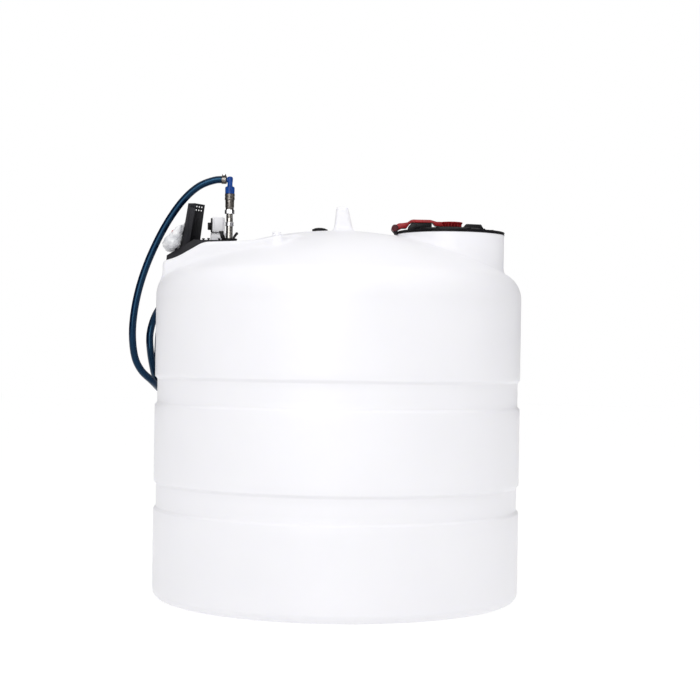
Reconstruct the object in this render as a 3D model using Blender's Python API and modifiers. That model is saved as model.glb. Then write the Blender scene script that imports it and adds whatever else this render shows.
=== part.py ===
"""Vertical storage tank for a clean liquid, moulded in natural polyethylene, with its dispensing kit.

The tank stands on a level floor. The origin is the middle of its flat bottom, +Z is up, the manhole
is on the +X side and the equipment platform with the hose and nozzle is on the -X side.
"""

import math

import bmesh
import bpy
import numpy as np
from mathutils import Matrix, Vector

# Driving dimensions, in metres
GAP = 0.0003
ROUND_STEPS = 72
SMALL_STEPS = 24

TANK_RADIUS = 0.775
TANK_APEX = 1.555
WALL = 0.008
DOME_RADIUS = 1.50
SHOULDER_RADIUS = 0.12
DOME_FOOT = 1.20
FOOT_RADIUS = 0.040
BAND_DEPTH = 0.010
BAND_EDGE = 0.014
BANDS = ((0.807, 0.932), (0.371, 0.493))

NECK_X = 0.474
NECK_RADIUS = 0.2265
NECK_TOP = 1.549
COLLAR_BORE = 0.212
COLLAR_DEPTH = 0.030
COLLAR_TOP = 1.5533

LID_RADIUS = 0.2285
LID_UNDERSIDE = 1.5538
LID_RIM_TOP = 1.559
LID_PLATEAU_RADIUS = 0.150
LID_PLATEAU_TOP = 1.572
LID_SPIGOT_RADIUS = 0.200
LID_SPIGOT_DEPTH = 0.013
GRIP_TOP = 1.592
GRIP_WIDTH = 0.060

ARM_PIVOT = (0.234, 0.0, 1.5716)
ARM_WIDTH = 0.050
ARM_TOP = 1.610
BOSS_RADIUS = 0.050
BOSS_FOOT_RADIUS = 0.037
BOSS_BOTTOM = 1.580
BOSS_TOP = 1.602
EAR_OFFSET = 0.034
EAR_THICKNESS = 0.006

DECK_Z = 1.4845
DECK_OUTER_X = -0.735
DECK_OUTER_Z = 1.392
DECK_BEND_X = -0.5567
DECK_RISE_X = -0.34
DECK_INNER_X = -0.13
DECK_INNER_Z = 1.524
PLATFORM_PLAN = ((-0.735, 0.19), (-0.24, 0.47), (-0.165, 0.33), (-0.150, 0.20))
PAD_X = (-0.600, -0.385)
PAD_HALF_WIDTH = 0.22

LUG_X = 0.0085
LUG_TOP = 1.661

RISER_X = -0.473
PIPE_RADIUS = 0.0145
HOSE_RADIUS = 0.0155
HOSE_START = (-0.4873, 0.0, 1.769)
HOSE_SPACING = 0.045

TRAY_FRONT_Y = -0.120
TRAY_BACK_Y = 0.170
TRAY_LEFT_X = -0.728
TRAY_RIGHT_X = -0.440
TRAY_EDGE_TOP = 1.5035
SHEET = 0.003
HOLDER_LEAN = math.radians(9.0)
HOLDER_FOOT = (-0.667, 0.0, 1.4815)
HOLDER_FRONT_TOP = 0.178
HOLDER_BACK_TOP = 0.2015
HOLDER_REACH_DOWN = -0.065
HOLDER_FRONT_Y = -0.105
HOLDER_BACK_Y = 0.135
CRADLE_HALF_WIDTH = 0.074
CRADLE_ARM = 0.014
CRADLE_ARM_Z = 0.0178
CRADLE_REACH = -0.061

NOZZLE_AXIS = (-0.691, 1.530)
NOZZLE_RADIUS = 0.023
NOZZLE_FRONT_Y = -0.085
NOZZLE_BACK_Y = 0.075
NOZZLE_INLET_Y = 0.115

PUMP_TOP = 1.5472
SWITCH_Y = 0.058
SWITCH_Z = 1.5746
SWITCH_BOX_X = (-0.5487, -0.4995)
SWITCH_BOX_TOP = 1.6133
SWITCH_PLATE = 0.0065

# The hose leaves the fitting, falls beside the tank, passes behind it and climbs over the rear
# shoulder onto the roof. It comes down again at the rear left, turns and rises to the nozzle.
HOSE_ROUTE = (
    (-0.537, 0.000, 1.7675),
    (-0.607, 0.000, 1.739),
    (-0.675, 0.000, 1.676),
    (-0.742, 0.000, 1.577),
    (-0.802, 0.000, 1.455),
    (-0.845, 0.000, 1.336),
    (-0.871, 0.001, 1.222),
    (-0.881, 0.004, 1.110),
    (-0.871, 0.012, 1.010),
    (-0.844, 0.032, 0.949),
    (-0.803, 0.080, 0.904),
    (-0.779, 0.166, 0.868),
    (-0.750, 0.270, 0.838),
    (-0.700, 0.384, 0.812),
    (-0.620, 0.503, 0.798),
    (-0.529, 0.598, 0.800),
    (-0.414, 0.683, 0.834),
    (-0.346, 0.720, 0.915),
    (-0.318, 0.733, 1.020),
    (-0.313, 0.735, 1.140),
    (-0.312, 0.735, 1.250),
    (-0.306, 0.721, 1.334),
    (-0.287, 0.675, 1.402),
    (-0.268, 0.607, 1.443),
    (-0.280, 0.533, 1.463),
    (-0.327, 0.475, 1.468),
    (-0.396, 0.440, 1.461),
    (-0.529, 0.405, 1.430),
    (-0.670, 0.388, 1.371),
    (-0.768, 0.387, 1.270),
    (-0.809, 0.391, 1.150),
    (-0.818, 0.392, 1.030),
    (-0.812, 0.365, 0.948),
    (-0.801, 0.295, 0.897),
    (-0.798, 0.209, 0.897),
    (-0.804, 0.139, 0.948),
    (-0.816, 0.112, 1.030),
    (-0.820, 0.120, 1.110),
    (-0.803, 0.160, 1.190),
    (-0.769, 0.222, 1.258),
    (-0.736, 0.271, 1.325),
    (-0.711, 0.284, 1.397),
    (-0.699, 0.266, 1.463),
    (-0.692, 0.216, 1.511),
    (-0.691, 0.150, 1.530),
)

MATERIALS = {
    "polyethylene": ((0.88, 0.88, 0.90), 0.45, 0.0),
    "black_moulding": ((0.020, 0.020, 0.022), 0.45, 0.0),
    "black_sheet": ((0.025, 0.025, 0.030), 0.50, 0.0),
    "red_moulding": ((0.42, 0.03, 0.04), 0.40, 0.0),
    "dark_red_moulding": ((0.20, 0.02, 0.03), 0.45, 0.0),
    "stainless": ((0.55, 0.54, 0.52), 0.30, 1.0),
    "blue_moulding": ((0.03, 0.15, 0.45), 0.40, 0.0),
    "blue_hose": ((0.03, 0.13, 0.28), 0.45, 0.0),
    "white_moulding": ((0.80, 0.80, 0.82), 0.40, 0.0),
    "nozzle_grey": ((0.10, 0.11, 0.12), 0.45, 0.0),
}


def new_collection(name):
    collection = bpy.data.collections.new(name)
    bpy.context.scene.collection.children.link(collection)
    return collection


def clear_scene():
    for obj in list(bpy.data.objects):
        bpy.data.objects.remove(obj)


def make_material(name):
    colour, roughness, metallic = MATERIALS[name]
    material = bpy.data.materials.new(name)
    material.use_nodes = True
    shader = material.node_tree.nodes["Principled BSDF"]
    shader.inputs["Base Color"].default_value = (*colour, 1.0)
    shader.inputs["Roughness"].default_value = roughness
    shader.inputs["Metallic"].default_value = metallic
    return material


def finish_object(name, data, material):
    """Puts a new object for a sub-part in the tank's collection."""
    obj = bpy.data.objects.new(name, data)
    parts.objects.link(obj)
    data.materials.clear()
    data.materials.append(materials[material])
    return obj


def as_cutter(obj):
    """Moves a helper to the cutters' collection, where it isn't rendered."""
    parts.objects.unlink(obj)
    cutters.objects.link(obj)
    obj.hide_render = True
    obj.display_type = "WIRE"
    return obj


def smooth(obj, angle=35.0):
    obj.data.shade_smooth()
    obj.data.set_sharp_from_angle(angle=math.radians(angle))
    return obj


def bevelled(obj, width, segments=2):
    modifier = obj.modifiers.new("edges", "BEVEL")
    modifier.width = width
    modifier.segments = segments
    modifier.limit_method = "ANGLE"
    modifier.angle_limit = math.radians(30.0)
    return obj


def combine(obj, other, operation):
    modifier = obj.modifiers.new(operation.lower(), "BOOLEAN")
    modifier.operation = operation
    modifier.object = other
    modifier.solver = "EXACT"
    return obj


def settled(obj):
    """Replaces an object's modifiers by the mesh that they give."""
    bpy.context.view_layer.update()
    graph = bpy.context.evaluated_depsgraph_get()
    mesh = bpy.data.meshes.new_from_object(obj.evaluated_get(graph))
    obj.modifiers.clear()
    obj.data = mesh
    return obj


def box(name, low, high, material):
    mesh = bpy.data.meshes.new(name)
    bm = bmesh.new()
    bmesh.ops.create_cube(bm, size=1.0)
    size = Vector(high) - Vector(low)
    bmesh.ops.scale(bm, vec=size, verts=bm.verts)
    bmesh.ops.translate(bm, vec=(Vector(high) + Vector(low)) / 2, verts=bm.verts)
    bm.to_mesh(mesh)
    bm.free()
    return finish_object(name, mesh, material)


def cylinder(name, start, end, radius, material, end_radius=None, steps=SMALL_STEPS):
    """A round bar or a cone from one point to another."""
    start, end = Vector(start), Vector(end)
    run = end - start
    mesh = bpy.data.meshes.new(name)
    bm = bmesh.new()
    bmesh.ops.create_cone(
        bm,
        cap_ends=True,
        segments=steps,
        radius1=radius,
        radius2=radius if end_radius is None else end_radius,
        depth=run.length,
        matrix=Matrix.Translation((start + end) / 2) @ run.to_track_quat("Z", "Y").to_matrix().to_4x4(),
    )
    bm.to_mesh(mesh)
    bm.free()
    return smooth(finish_object(name, mesh, material))


def turned(name, profile, material, steps=ROUND_STEPS, place=(0.0, 0.0, 0.0), axis="Z"):
    """A turned solid. The profile's (radius, height) points run down its outer side first.

    A profile that starts and ends on the axis is a solid of its own; any other one is closed into
    a ring. With axis X the heights run along +X, and with axis Y along +Y.
    """
    on_axis = profile[0][0] == 0.0 and profile[-1][0] == 0.0
    mesh = bpy.data.meshes.new(name)
    bm = bmesh.new()
    corners = [bm.verts.new((radius, 0.0, height)) for radius, height in profile]
    pairs = list(zip(corners, corners[1:]))
    if not on_axis:
        pairs.append((corners[-1], corners[0]))
    for pair in pairs:
        bm.edges.new(pair)
    bm.to_mesh(mesh)
    bm.free()
    obj = finish_object(name, mesh, material)
    screw = obj.modifiers.new("turn", "SCREW")
    screw.axis = "Z"
    screw.steps = steps
    screw.render_steps = steps
    screw.use_merge_vertices = True
    screw.merge_threshold = 0.00005
    screw.use_smooth_shade = True
    obj.location = place
    if axis == "X":
        obj.rotation_euler = (0.0, math.radians(90.0), 0.0)
    if axis == "Y":
        obj.rotation_euler = (math.radians(-90.0), 0.0, 0.0)
    return obj


def slab(name, outline, low, high, along, material):
    """An outline drawn in two axes and given its thickness along the third one, X, Y or Z."""
    mesh = bpy.data.meshes.new(name)
    bm = bmesh.new()
    spread = {
        "X": lambda a, b: (low, a, b),
        "Y": lambda a, b: (a, low, b),
        "Z": lambda a, b: (a, b, low),
    }[along]
    push = {"X": (high - low, 0, 0), "Y": (0, high - low, 0), "Z": (0, 0, high - low)}[along]
    face = bm.faces.new([bm.verts.new(spread(a, b)) for a, b in outline])
    raised = bmesh.ops.extrude_face_region(bm, geom=[face])
    moved = [item for item in raised["geom"] if isinstance(item, bmesh.types.BMVert)]
    bmesh.ops.translate(bm, vec=push, verts=moved)
    bmesh.ops.recalc_face_normals(bm, faces=bm.faces)
    bm.to_mesh(mesh)
    bm.free()
    return finish_object(name, mesh, material)


def tube(name, points, radius, material, resolution=2):
    curve = bpy.data.curves.new(name, "CURVE")
    curve.dimensions = "3D"
    curve.bevel_depth = radius
    curve.bevel_resolution = resolution
    curve.use_fill_caps = True
    line = curve.splines.new("POLY")
    line.points.add(len(points) - 1)
    for point, place in zip(line.points, points):
        point.co = (*place, 1.0)
    return finish_object(name, curve, material)


def arc(centre, radius, start, end, count):
    """Points on an arc in a plane, with the angles in degrees."""
    angles = [math.radians(start + (end - start) * i / count) for i in range(count + 1)]
    return [(centre[0] + radius * math.cos(a), centre[1] + radius * math.sin(a)) for a in angles]


def dome_centre():
    return TANK_APEX - DOME_RADIUS


def shoulder_centre():
    """Radius and height of the middle of the rounded shoulder between roof and wall."""
    radius = TANK_RADIUS - SHOULDER_RADIUS
    reach = DOME_RADIUS - SHOULDER_RADIUS
    return radius, dome_centre() + math.sqrt(reach * reach - radius * radius)


def dome_outline(offset):
    """The roof's turned outline moved out by an offset: down from the apex to the shoulder's foot."""
    radius, height = shoulder_centre()
    top = DOME_RADIUS + offset
    turn = SHOULDER_RADIUS + offset
    join = math.degrees(math.atan2(height - dome_centre(), radius))
    crown = arc((0.0, dome_centre()), top, 90.0, join, 10)
    crown[0] = (0.0, dome_centre() + top)
    return crown + arc((radius, height), turn, join, 0.0, 6)[1:]


def dome_solid(name, offset):
    """A solid under the roof's surface, flat at its foot."""
    outline = dome_outline(offset)
    outline = outline + [(outline[-1][0], DOME_FOOT), (0.0, DOME_FOOT)]
    return as_cutter(turned(name, outline, "polyethylene"))


def banded_side(radius):
    """The wall's outline between its top and its foot, with its two shallow recessed bands."""
    points = []
    for low, high in BANDS:
        points += [
            (radius, high),
            (radius - BAND_DEPTH, high - BAND_EDGE),
            (radius - BAND_DEPTH, low + BAND_EDGE),
            (radius, low),
        ]
    return points


def tank_shell():
    """The flat bottom and the banded wall."""
    flat = TANK_RADIUS - FOOT_RADIUS
    turned("tank_floor", [(0.0, WALL), (flat - GAP, WALL), (flat - GAP, 0.0), (0.0, 0.0)], "polyethylene")
    top = shoulder_centre()[1] - GAP
    foot = (flat, FOOT_RADIUS)
    outer = [(TANK_RADIUS, top)] + banded_side(TANK_RADIUS) + arc(foot, FOOT_RADIUS, 0.0, -90.0, 5)
    inner = [(TANK_RADIUS - WALL, top)] + banded_side(TANK_RADIUS - WALL)
    inner = inner + arc(foot, FOOT_RADIUS - WALL, 0.0, -90.0, 5)
    turned("tank_wall", outer + inner[::-1], "polyethylene")


def platform_outline(offset):
    """The platform seen from above, symmetrical about the X axis, grown by an offset."""
    half = [Vector(point) for point in PLATFORM_PLAN]
    whole = half + [Vector((point.x, -point.y)) for point in reversed(half)]
    count = len(whole)
    grown = []
    for i, point in enumerate(whole):
        before = (point - whole[i - 1]).normalized()
        after = (whole[(i + 1) % count] - point).normalized()
        out_before = Vector((-before.y, before.x))
        out_after = Vector((-after.y, after.x))
        corner = (out_before + out_after).normalized()
        grown.append(point + corner * offset / corner.dot(out_before))
    return [tuple(point) for point in grown]


def deck_profile(offset, top):
    """The space above the platform's deck, as an outline of X and Z."""
    slope = (DECK_Z - DECK_OUTER_Z) / (DECK_BEND_X - DECK_OUTER_X)
    rise = (DECK_INNER_Z - DECK_Z) / (DECK_INNER_X - DECK_RISE_X)
    outer_x = DECK_OUTER_X - 0.10
    inner_x = 0.0
    return [
        (outer_x, DECK_OUTER_Z - slope * 0.10 + offset),
        (DECK_BEND_X, DECK_Z + offset),
        (DECK_RISE_X, DECK_Z + offset),
        (inner_x, DECK_Z + rise * (inner_x - DECK_RISE_X) + offset),
        (inner_x, top),
        (outer_x, top),
    ]


def pad_recess(name, grow, drop):
    """The flat equipment pad's space, cut into the crown of the roof."""
    low = (PAD_X[0] - grow, -PAD_HALF_WIDTH - grow, DECK_Z - drop)
    high = (PAD_X[1] + grow, PAD_HALF_WIDTH + grow, 1.62)
    return as_cutter(box(name, low, high, "polyethylene"))


def roof():
    """The domed roof and, as a piece of its own, the moulded equipment platform in its -X side."""
    foot = shoulder_centre()[1]
    inner = dome_solid("dome_inner", -WALL)
    opening = as_cutter(
        slab("platform_opening", platform_outline(GAP), 1.20, 1.62, "Z", "polyethylene")
    )
    neck_hole = cylinder(
        "neck_hole",
        (NECK_X, 0.0, 1.20),
        (NECK_X, 0.0, 1.62),
        NECK_RADIUS + GAP,
        "polyethylene",
        steps=ROUND_STEPS,
    )
    as_cutter(neck_hole)

    skin = dome_outline(0.0) + dome_outline(-WALL)[::-1]
    dome = turned("tank_roof", skin, "polyethylene")
    combine(dome, opening, "DIFFERENCE")
    combine(dome, neck_hole, "DIFFERENCE")

    block = slab("deck_block", deck_solid_outline(), -0.60, 0.60, "Y", "polyethylene")
    as_cutter(block)
    covered = dome_solid("covered_roof", 0.0)
    combine(covered, block, "UNION")
    settled(covered)
    recess = pad_recess("pad_recess", 0.0, 0.0)
    hollow = slab("platform_hollow", platform_outline(-WALL), 1.20, 1.62, "Z", "polyethylene")
    as_cutter(hollow)
    above = as_cutter(slab("above_deck", deck_profile(-WALL, 1.70), -0.60, 0.60, "Y", "polyethylene"))
    grown_recess = pad_recess("pad_recess_inside", WALL, WALL)
    combine(hollow, above, "DIFFERENCE")
    combine(hollow, grown_recess, "DIFFERENCE")
    settled(hollow)
    combine(inner, grown_recess, "DIFFERENCE")
    settled(inner)

    platform = slab("equipment_platform", platform_outline(0.0), foot, 1.62, "Z", "polyethylene")
    combine(platform, covered, "INTERSECT")
    combine(platform, recess, "DIFFERENCE")
    combine(platform, hollow, "DIFFERENCE")
    combine(platform, inner, "DIFFERENCE")


def deck_solid_outline():
    """The solid under the platform's deck, as an outline of X and Z."""
    over = deck_profile(0.0, 1.70)[:4]
    return over + [(over[-1][0], 1.25), (over[0][0], 1.25)]


def manhole_neck():
    """The moulded round neck, with its foot cut along the inside of the roof."""
    inside = NECK_RADIUS - WALL
    profile = [(NECK_RADIUS, NECK_TOP), (NECK_RADIUS, 1.30), (inside, 1.30), (inside, NECK_TOP)]
    neck = turned("manhole_neck", profile, "polyethylene", place=(NECK_X, 0.0, 0.0))
    combine(neck, dome_solid("under_neck", -WALL), "DIFFERENCE")


def lifting_lug():
    """The tapered lug moulded on top of the roof."""
    foot = 1.540
    bottom = [(-0.034, -0.030), (0.047, -0.030), (0.047, 0.030), (-0.034, 0.030)]
    middle = [(-0.028, -0.025), (0.039, -0.025), (0.039, 0.025), (-0.028, 0.025)]
    top = [(-0.0245, -0.020), (0.024, -0.020), (0.024, 0.020), (-0.0245, 0.020)]
    mesh = bpy.data.meshes.new("lifting_lug")
    bm = bmesh.new()
    rings = []
    for outline, height in ((bottom, foot), (middle, 1.575), (top, LUG_TOP)):
        rings.append([bm.verts.new((LUG_X + x, y, height)) for x, y in outline])
    bm.faces.new(rings[0][::-1])
    bm.faces.new(rings[-1])
    for lower, upper in zip(rings, rings[1:]):
        for i in range(4):
            j = (i + 1) % 4
            bm.faces.new((lower[i], lower[j], upper[j], upper[i]))
    bmesh.ops.recalc_face_normals(bm, faces=bm.faces)
    bm.to_mesh(mesh)
    bm.free()
    lug = bevelled(finish_object("lifting_lug", mesh, "polyethylene"), 0.006)
    combine(lug, dome_solid("under_lug", GAP), "DIFFERENCE")


def roof_caps():
    """The black vent and the white plug cap on the roof."""
    vent = [
        (0.0, 1.570),
        (0.014, 1.5695),
        (0.026, 1.566),
        (0.032, 1.560),
        (0.033, 1.550),
        (0.033, 1.530),
        (0.0, 1.530),
    ]
    cap = turned("vent_cap", vent, "black_moulding", steps=SMALL_STEPS, place=(-0.086, 0.0, 0.0))
    combine(cap, dome_solid("under_vent", GAP), "DIFFERENCE")
    plug = [(0.0, 1.554), (0.017, 1.554), (0.020, 1.551), (0.020, 1.505), (0.0, 1.505)]
    white = turned("plug_cap", plug, "white_moulding", steps=SMALL_STEPS, place=(-0.273, 0.060, 0.0))
    combine(white, dome_solid("under_plug", GAP), "DIFFERENCE")


def manhole_collar():
    """The black ring on the neck that the lid closes on."""
    sleeve = NECK_RADIUS - WALL - GAP
    base = NECK_TOP + GAP
    profile = [
        (NECK_RADIUS, COLLAR_TOP),
        (NECK_RADIUS, base),
        (sleeve, base),
        (sleeve, base - COLLAR_DEPTH),
        (COLLAR_BORE, base - COLLAR_DEPTH),
        (COLLAR_BORE, COLLAR_TOP),
    ]
    turned("manhole_collar", profile, "black_moulding", place=(NECK_X, 0.0, 0.0))


def hinge_bracket():
    """The bracket on the neck's -X side whose two ears hold the lid arm's pin."""
    x, _, z = ARM_PIVOT
    foot = 1.5460
    inner = 0.2460
    ear = [(inner, foot), (inner, z)] + arc((x, z), 0.0120, 30.0, 180.0, 6)
    ear = ear + [(x - 0.0120, z - 0.006), (x + 0.001, foot)]
    half = EAR_THICKNESS / 2
    first = slab("hinge_bracket", ear, -EAR_OFFSET - half, -EAR_OFFSET + half, "Y", "black_moulding")
    second = as_cutter(
        slab("second_ear", ear, EAR_OFFSET - half, EAR_OFFSET + half, "Y", "black_moulding")
    )
    width = EAR_OFFSET + half / 2
    low = (x + 0.003, -width, foot + 0.0006)
    base = as_cutter(box("bracket_base", low, (0.2700, width, 1.5525), "black_moulding"))
    wrap = as_cutter(
        cylinder(
            "neck_side",
            (NECK_X, 0.0, 1.50),
            (NECK_X, 0.0, 1.60),
            NECK_RADIUS + 2 * GAP,
            "black_moulding",
            steps=ROUND_STEPS,
        )
    )
    pin_hole = as_cutter(
        cylinder("pin_hole", (x, -0.060, z), (x, 0.060, z), 0.0060, "black_moulding")
    )
    combine(first, base, "UNION")
    combine(first, second, "UNION")
    combine(first, wrap, "DIFFERENCE")
    combine(first, pin_hole, "DIFFERENCE")


def lid():
    """The round lid, ribbed grips on its top and the hub that the arm holds it by."""
    spigot_foot = LID_UNDERSIDE - LID_SPIGOT_DEPTH
    skin = 0.005
    profile = [
        (0.0, LID_PLATEAU_TOP),
        (LID_PLATEAU_RADIUS - 0.010, LID_PLATEAU_TOP),
        (LID_PLATEAU_RADIUS, LID_RIM_TOP + 0.0005),
        (LID_RADIUS - 0.0025, LID_RIM_TOP),
        (LID_RADIUS, LID_RIM_TOP - 0.0025),
        (LID_RADIUS, LID_UNDERSIDE),
        (LID_SPIGOT_RADIUS, LID_UNDERSIDE),
        (LID_SPIGOT_RADIUS, spigot_foot),
        (LID_SPIGOT_RADIUS - skin, spigot_foot),
        (LID_SPIGOT_RADIUS - skin, LID_RIM_TOP - skin),
        (LID_PLATEAU_RADIUS - skin, LID_RIM_TOP - skin),
        (LID_PLATEAU_RADIUS - 0.014, LID_PLATEAU_TOP - skin),
        (0.0, LID_PLATEAU_TOP - skin),
    ]
    place = (NECK_X, 0.0, 0.0)
    turned("lid_disc", profile, "black_moulding", place=place)
    deck = LID_PLATEAU_TOP + GAP
    rim = LID_RIM_TOP + 0.0012
    far = [
        (-0.183, rim),
        (-0.178, 1.580),
        (-0.164, GRIP_TOP),
        (-0.083, GRIP_TOP),
        (-0.083, deck),
        (-LID_PLATEAU_RADIUS - 0.001, deck),
        (-LID_PLATEAU_RADIUS - 0.006, rim),
    ]
    near = [(0.0430, deck), (0.0620, 1.5935), (0.0680, 1.5945), (0.127, 1.5930), (0.1395, deck)]
    for name, outline in (("lid_grip_left", far), ("lid_grip_right", near)):
        placed = [(NECK_X + x, z) for x, z in outline]
        bevelled(slab(name, placed, -GRIP_WIDTH / 2, GRIP_WIDTH / 2, "Y", "black_moulding"), 0.002)
    cylinder("lid_hub", (NECK_X, 0.0, deck), (NECK_X, 0.0, BOSS_BOTTOM - 2 * GAP), 0.030, "black_moulding")


def lid_arm():
    """The red arm from the hinge to the boss over the middle of the lid, with its pins."""
    x, _, z = ARM_PIVOT
    outline = arc((x, z), 0.0125, 90.0, 300.0, 10) + [
        (0.256, 1.5690),
        (0.262, 1.5725),
        (0.283, 1.5730),
        (0.289, 1.5830),
        (0.306, 1.5975),
        (0.3935, 1.5975),
        (0.4005, 1.5895),
        (0.4050, 1.5850),
        (0.415, 1.5835),
        (0.440, 1.5835),
        (0.440, 1.6015),
        (0.411, 1.6020),
        (0.399, 1.6055),
        (0.385, 1.6095),
        (0.312, ARM_TOP),
        (0.302, 1.6080),
        (0.287, 1.5975),
        (0.270, 1.5945),
        (0.250, 1.5930),
    ]
    strap = slab("lid_arm", outline, -ARM_WIDTH / 2, ARM_WIDTH / 2, "Y", "red_moulding")
    bevelled(strap, 0.0015, 1)
    wide, narrow = BOSS_RADIUS + 2 * GAP, BOSS_FOOT_RADIUS + 2 * GAP
    space = [
        (0.0, 1.640),
        (wide, 1.640),
        (wide, BOSS_TOP - 0.003),
        (narrow, BOSS_BOTTOM),
        (narrow, 1.570),
        (0.0, 1.570),
    ]
    boss_space = turned("boss_space", space, "red_moulding", steps=36, place=(NECK_X, 0.0, 0.0))
    as_cutter(boss_space)
    combine(strap, boss_space, "DIFFERENCE")
    boss = [
        (0.0, BOSS_TOP),
        (BOSS_RADIUS - 0.003, BOSS_TOP),
        (BOSS_RADIUS, BOSS_TOP - 0.003),
        (BOSS_FOOT_RADIUS, BOSS_BOTTOM),
        (0.0, BOSS_BOTTOM),
    ]
    turned("lid_arm_boss", boss, "red_moulding", steps=36, place=(NECK_X, 0.0, 0.0))
    side = ARM_WIDTH / 2 + GAP
    outside = EAR_OFFSET + EAR_THICKNESS / 2 + GAP
    for name, sign in (("hinge_pin_front", -1), ("hinge_pin_back", 1)):
        pin = [
            (0.0, outside + 0.010),
            (0.0125, outside + 0.010),
            (0.0145, outside + 0.007),
            (0.0145, outside),
            (0.0055, outside),
            (0.0055, side),
            (0.0, side),
        ]
        obj = turned(name, pin, "dark_red_moulding", steps=SMALL_STEPS, place=(x, 0.0, z), axis="Y")
        if sign < 0:
            obj.rotation_euler = (math.radians(90.0), 0.0, 0.0)


def deck_height(x):
    """Height of the platform's deck at an X, on its slope or its flat part."""
    slope = (DECK_Z - DECK_OUTER_Z) / (DECK_BEND_X - DECK_OUTER_X)
    return DECK_Z + min(0.0, slope * (x - DECK_BEND_X))


def equipment_tray():
    """The folded black tray on the deck, sloping at its outer end, with raised front and back edges."""
    lift = GAP
    left, bend, right = TRAY_LEFT_X, DECK_BEND_X, TRAY_RIGHT_X
    floor = [
        (left, deck_height(left) + lift),
        (bend, DECK_Z + lift),
        (right, DECK_Z + lift),
        (right, DECK_Z + lift + SHEET),
        (bend, DECK_Z + lift + SHEET),
        (left, deck_height(left) + lift + SHEET),
    ]
    tray = slab("equipment_tray", floor, TRAY_FRONT_Y, TRAY_BACK_Y, "Y", "black_sheet")
    edge = [
        (left, deck_height(left) + lift),
        (bend, DECK_Z + lift),
        (right, DECK_Z + lift),
        (right, TRAY_EDGE_TOP),
        (-0.613, TRAY_EDGE_TOP),
        (-0.725, 1.4360),
    ]
    for name, low, high in (
        ("tray_front_edge", TRAY_FRONT_Y, TRAY_FRONT_Y + SHEET),
        ("tray_back_edge", TRAY_BACK_Y - SHEET, TRAY_BACK_Y),
    ):
        combine(tray, as_cutter(slab(name, edge, low, high, "Y", "black_sheet")), "UNION")


def nozzle_holder():
    """The black folded sheet that stands on the tray's slope and leans inwards, open towards +X."""
    front, back = HOLDER_FRONT_Y, HOLDER_BACK_Y
    foot, top, back_top = HOLDER_REACH_DOWN, HOLDER_FRONT_TOP, HOLDER_BACK_TOP
    place = Matrix.Translation(HOLDER_FOOT) @ Matrix.Rotation(HOLDER_LEAN, 4, "Y")
    plate = [(front, foot), (back, foot), (back, back_top), (front, top)]
    holder = slab("nozzle_holder", plate, 0.0, SHEET, "X", "black_sheet")
    holder.matrix_world = place
    front_side = [(0.0, foot), (0.033, foot), (0.033, top), (0.0, top)]
    back_side = [(0.0, foot), (0.053, foot), (0.053, 0.0), (0.045, back_top), (0.0, back_top)]
    added = [
        slab("holder_front_side", front_side, front, front + SHEET, "Y", "black_sheet"),
        slab("holder_back_side", back_side, back - SHEET, back, "Y", "black_sheet"),
    ]
    cut = [box("holder_slot", (0.006, front - 0.01, 0.163), (0.028, front + 0.01, 0.170), "black_sheet")]
    for x in (0.010, 0.021, 0.032):
        low = (x, back - 0.01, HOLDER_BACK_TOP - 0.032)
        high = (x + 0.006, back + 0.01, HOLDER_BACK_TOP - 0.010)
        cut.append(box("back_slot", low, high, "black_sheet"))
    for pieces, operation in ((added, "UNION"), (cut, "DIFFERENCE")):
        for piece in pieces:
            piece.matrix_world = place
            combine(holder, as_cutter(piece), operation)
    combine(holder, below_tray_top(), "DIFFERENCE")
    nozzle_cradle(place)


def below_tray_top():
    """The space under the tray's upper surface, which the holder's foot is cut to."""
    lift = GAP + SHEET + GAP
    left = TRAY_LEFT_X - 0.1
    outline = [
        (left, deck_height(left) + lift),
        (DECK_BEND_X, DECK_Z + lift),
        (TRAY_RIGHT_X, DECK_Z + lift),
        (TRAY_RIGHT_X, 1.25),
        (left, 1.25),
    ]
    return as_cutter(slab("below_tray_top", outline, -0.30, 0.30, "Y", "black_sheet"))


def nozzle_cradle(place):
    """The black fork on the holder's outer side whose two arms carry the nozzle."""
    outer, inner = -GAP - SHEET, -GAP
    root = outer + SHEET / 2
    half = CRADLE_HALF_WIDTH
    low, reach = CRADLE_ARM_Z, CRADLE_REACH
    corner = (outer, -half - 0.001, low - 0.001)
    cradle = box("nozzle_cradle", corner, (inner, half + 0.001, 0.1080), "black_sheet")
    hook_outline = [
        (root, 0.1070),
        (root, 0.0980),
        (-0.0070, 0.0905),
        (-0.0130, 0.0935),
        (-0.0080, 0.1055),
    ]
    hook = slab("cradle_hook", hook_outline, -0.020, 0.020, "Y", "black_sheet")
    arm = [
        (reach, low),
        (reach, low + 0.013),
        (reach + SHEET, low + 0.013),
        (reach + SHEET, low + SHEET),
        (root, low + SHEET),
        (root, low),
    ]
    front = slab("cradle_arm_front", arm, -half, -half + CRADLE_ARM, "Y", "black_sheet")
    back = slab("cradle_arm_back", arm, half - CRADLE_ARM, half, "Y", "black_sheet")
    cradle.matrix_world = place
    for piece in (hook, front, back):
        piece.matrix_world = place
        combine(cradle, as_cutter(piece), "UNION")


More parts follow.
